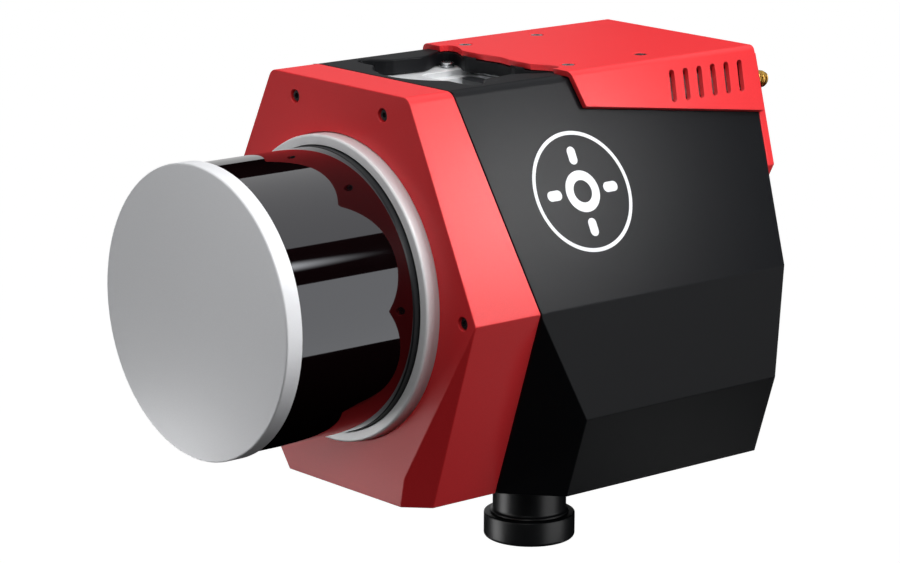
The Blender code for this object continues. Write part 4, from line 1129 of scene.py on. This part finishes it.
# ---- finishes of the frame's own parts ----
FRAME_FINISHES = {
    STEEL: ["bearing_front", "bearing_rear", "rotor_shaft"],
    COPPER: ["motor_stator"],
    MAGNET: ["motor_magnets"],
    GLASS: ["emitter_lens", "receiver_lens", "lens_inner_glass"],
    BOARD: ["emitter_board", "receiver_board", "camera_sensor_board", "main_board", "satellite_receiver",
            "head_interface_board"],
    GOLD: ["rotor_counterweight"],
    CAST: ["inertial_unit", "receiver_shield", "rotor_bench"],
    NYLON: ["camera_body", "storage_module", "power_module"],
}
for material, names in FRAME_FINISHES.items():
    for name in names:
        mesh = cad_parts[name].data
        mesh.materials.clear()
        mesh.materials.append(material)


# ---- studio ----
SHINE_NEARER = 0.02     # part of the way to its aim by which a lamp's reflected twin stands in front of it
FLOOR_Z, FLOOR_HALF = -0.95, 30.0


def softbox(name, place, aim, width, height, power, gloss=None):
    """A soft rectangular lamp at a place, aimed at a point, both in metres of the frame.  Where gloss is
    given, it is the power that reflections see, and power only what the surfaces are lit with."""
    data = bpy.data.lights.new(name, "AREA")
    data.shape = "RECTANGLE"
    data.size, data.size_y = width, height
    data.energy = power
    lamp = bpy.data.objects.new(name, data)
    bpy.context.scene.collection.objects.link(lamp)
    lamp.location = place
    lamp.rotation_euler = (Vector(aim) - Vector(place)).to_track_quat("-Z", "Y").to_euler()
    lamp.visible_camera = False
    if gloss is not None:
        lamp.visible_glossy = False
        nearer = Vector(place).lerp(Vector(aim), SHINE_NEARER)
        shine = softbox(name + "_shine", nearer, aim, width, height, gloss)
        shine.visible_diffuse = False
        return shine
    return lamp


def fade_out(lamp):
    """Let a lamp's light fade from its middle to its edges.  Its parametric coordinates are those of a
    triangle's corners, so they are first turned into places across and up the lamp."""
    lamp.data.use_nodes = True
    tree = lamp.data.node_tree
    where = add_node(tree, "ShaderNodeNewGeometry")
    parts = add_node(tree, "ShaderNodeSeparateXYZ", {"Vector": where.outputs["Parametric"]})
    height = add_node(tree, "ShaderNodeMath", {0: parts.outputs["X"], 1: parts.outputs["Y"]}, operation="ADD")
    place = add_node(tree, "ShaderNodeCombineXYZ", {"X": parts.outputs["Y"], "Y": height.outputs[0]})
    centred = add_node(tree, "ShaderNodeMapping", {"Vector": place.outputs[0],
                                                   "Location": (-1.0, -1.0, 0.0), "Scale": (2.0, 2.0, 0.0)})
    fade = add_node(tree, "ShaderNodeTexGradient", {"Vector": centred.outputs[0]},
                    gradient_type="QUADRATIC_SPHERE")
    tree.links.new(fade.outputs["Fac"], tree.nodes["Emission"].inputs["Strength"])


def make_floor():
    """Plain pale floor, well below the scanner, which hangs from its mount."""
    bm = bmesh.new()
    bmesh.ops.create_grid(bm, x_segments=1, y_segments=1, size=FLOOR_HALF)
    mesh = bpy.data.meshes.new("floor")
    bm.to_mesh(mesh)
    bm.free()
    mesh.transform(Matrix.Translation((0, 0, FLOOR_Z)))
    floor = new_object("studio_floor", mesh)
    material, _, shader = finish("pale_studio_paper", "#5A5A5A", 0.9)
    shader.inputs["Emission Color"].default_value = (1, 1, 1, 1)
    shader.inputs["Emission Strength"].default_value = 1.0
    mesh.materials.append(material)
    floor.visible_diffuse = False
    floor.visible_glossy = False


def make_studio():
    make_floor()
    world = bpy.data.worlds.new("studio_air")
    bpy.context.scene.world = world
    world.use_nodes = True
    air = world.node_tree.nodes["Background"]
    air.inputs["Color"].default_value = (1, 1, 1, 1)
    air.inputs["Strength"].default_value = 1.0
    world.cycles_visibility.diffuse = False
    world.cycles_visibility.glossy = False
    softbox("overhead", (0.0, 0.22, 0.75), (0.0, 0.22, 0.0), 1.25, 1.7, 11.4, gloss=5.3)
    softbox("right_side", (1.0, 0.62, -0.17), (0.0, 0.62, -0.17), 1.15, 1.04, 3.0, gloss=4.9)
    softbox("left_side", (-1.0, 0.62, -0.04), (0.0, 0.62, -0.04), 0.7, 0.72, 0.0, gloss=0.9)
    softbox("upper_right", (0.55, 0.13, 0.50), (0.03, 0.0, 0.02), 0.25, 0.25, 4.0, gloss=1.2)
    softbox("low_front", (-0.55, -0.46, -0.40), (0.0, 0.0, -0.10), 0.35, 0.35, 1.0, gloss=0.2)
    softbox("front_fill", (-0.55, -1.3, 0.25), (0.0, 0.0, -0.05), 0.9, 0.9, 1.9, gloss=5.0)
    softbox("front_right", (0.75, -0.9, 0.5), (0.0, 0.0, -0.05), 0.4, 0.4, 2.9)
    softbox("chin_shine", (-0.15, -0.16, -0.22), (0.0, -0.05, -0.13), 0.12, 0.12, 0.0, gloss=0.15)
    softbox("under_shine", (0.16, 0.33, -0.42), (0.065, 0.08, -0.12), 0.04, 0.04, 0.0, gloss=0.03)
    seam = softbox("seam_shine", (0.2135, 0.150, 0.081), (0.055, -0.015, -0.02), 0.03, 0.03, 0.0,
                   gloss=0.035)
    seam.data.spread = radians(60)
    fade_out(softbox("glow", (0.485, 0.335, 0.3725), (0.035, -0.115, 0.3725), 0.17, 0.25, 0.0,
                     gloss=3.2))


def make_camera():
    data = bpy.data.cameras.new("camera")
    data.sensor_width = 36.0
    data.lens = 142.155
    camera = bpy.data.objects.new("camera", data)
    bpy.context.scene.collection.objects.link(camera)
    azimuth, elevation, roll = radians(49.54), radians(13.18), radians(0.25)
    back = Vector((sin(azimuth) * cos(elevation), -cos(azimuth) * cos(elevation),
                   sin(elevation)))
    across = Vector((cos(azimuth), sin(azimuth), 0))
    upwards = back.cross(across)
    right = across * cos(roll) + upwards * sin(roll)
    up = upwards * cos(roll) - across * sin(roll)
    turn = Matrix((right, up, back)).transposed().to_4x4()
    camera.matrix_world = Matrix.Translation((0.92656, -0.78701, 0.21452)) @ turn
    data.clip_start, data.clip_end = 0.05, 100
    bpy.context.scene.camera = camera


make_studio()
make_camera()
bpy.context.scene.view_settings.view_transform = "Standard"
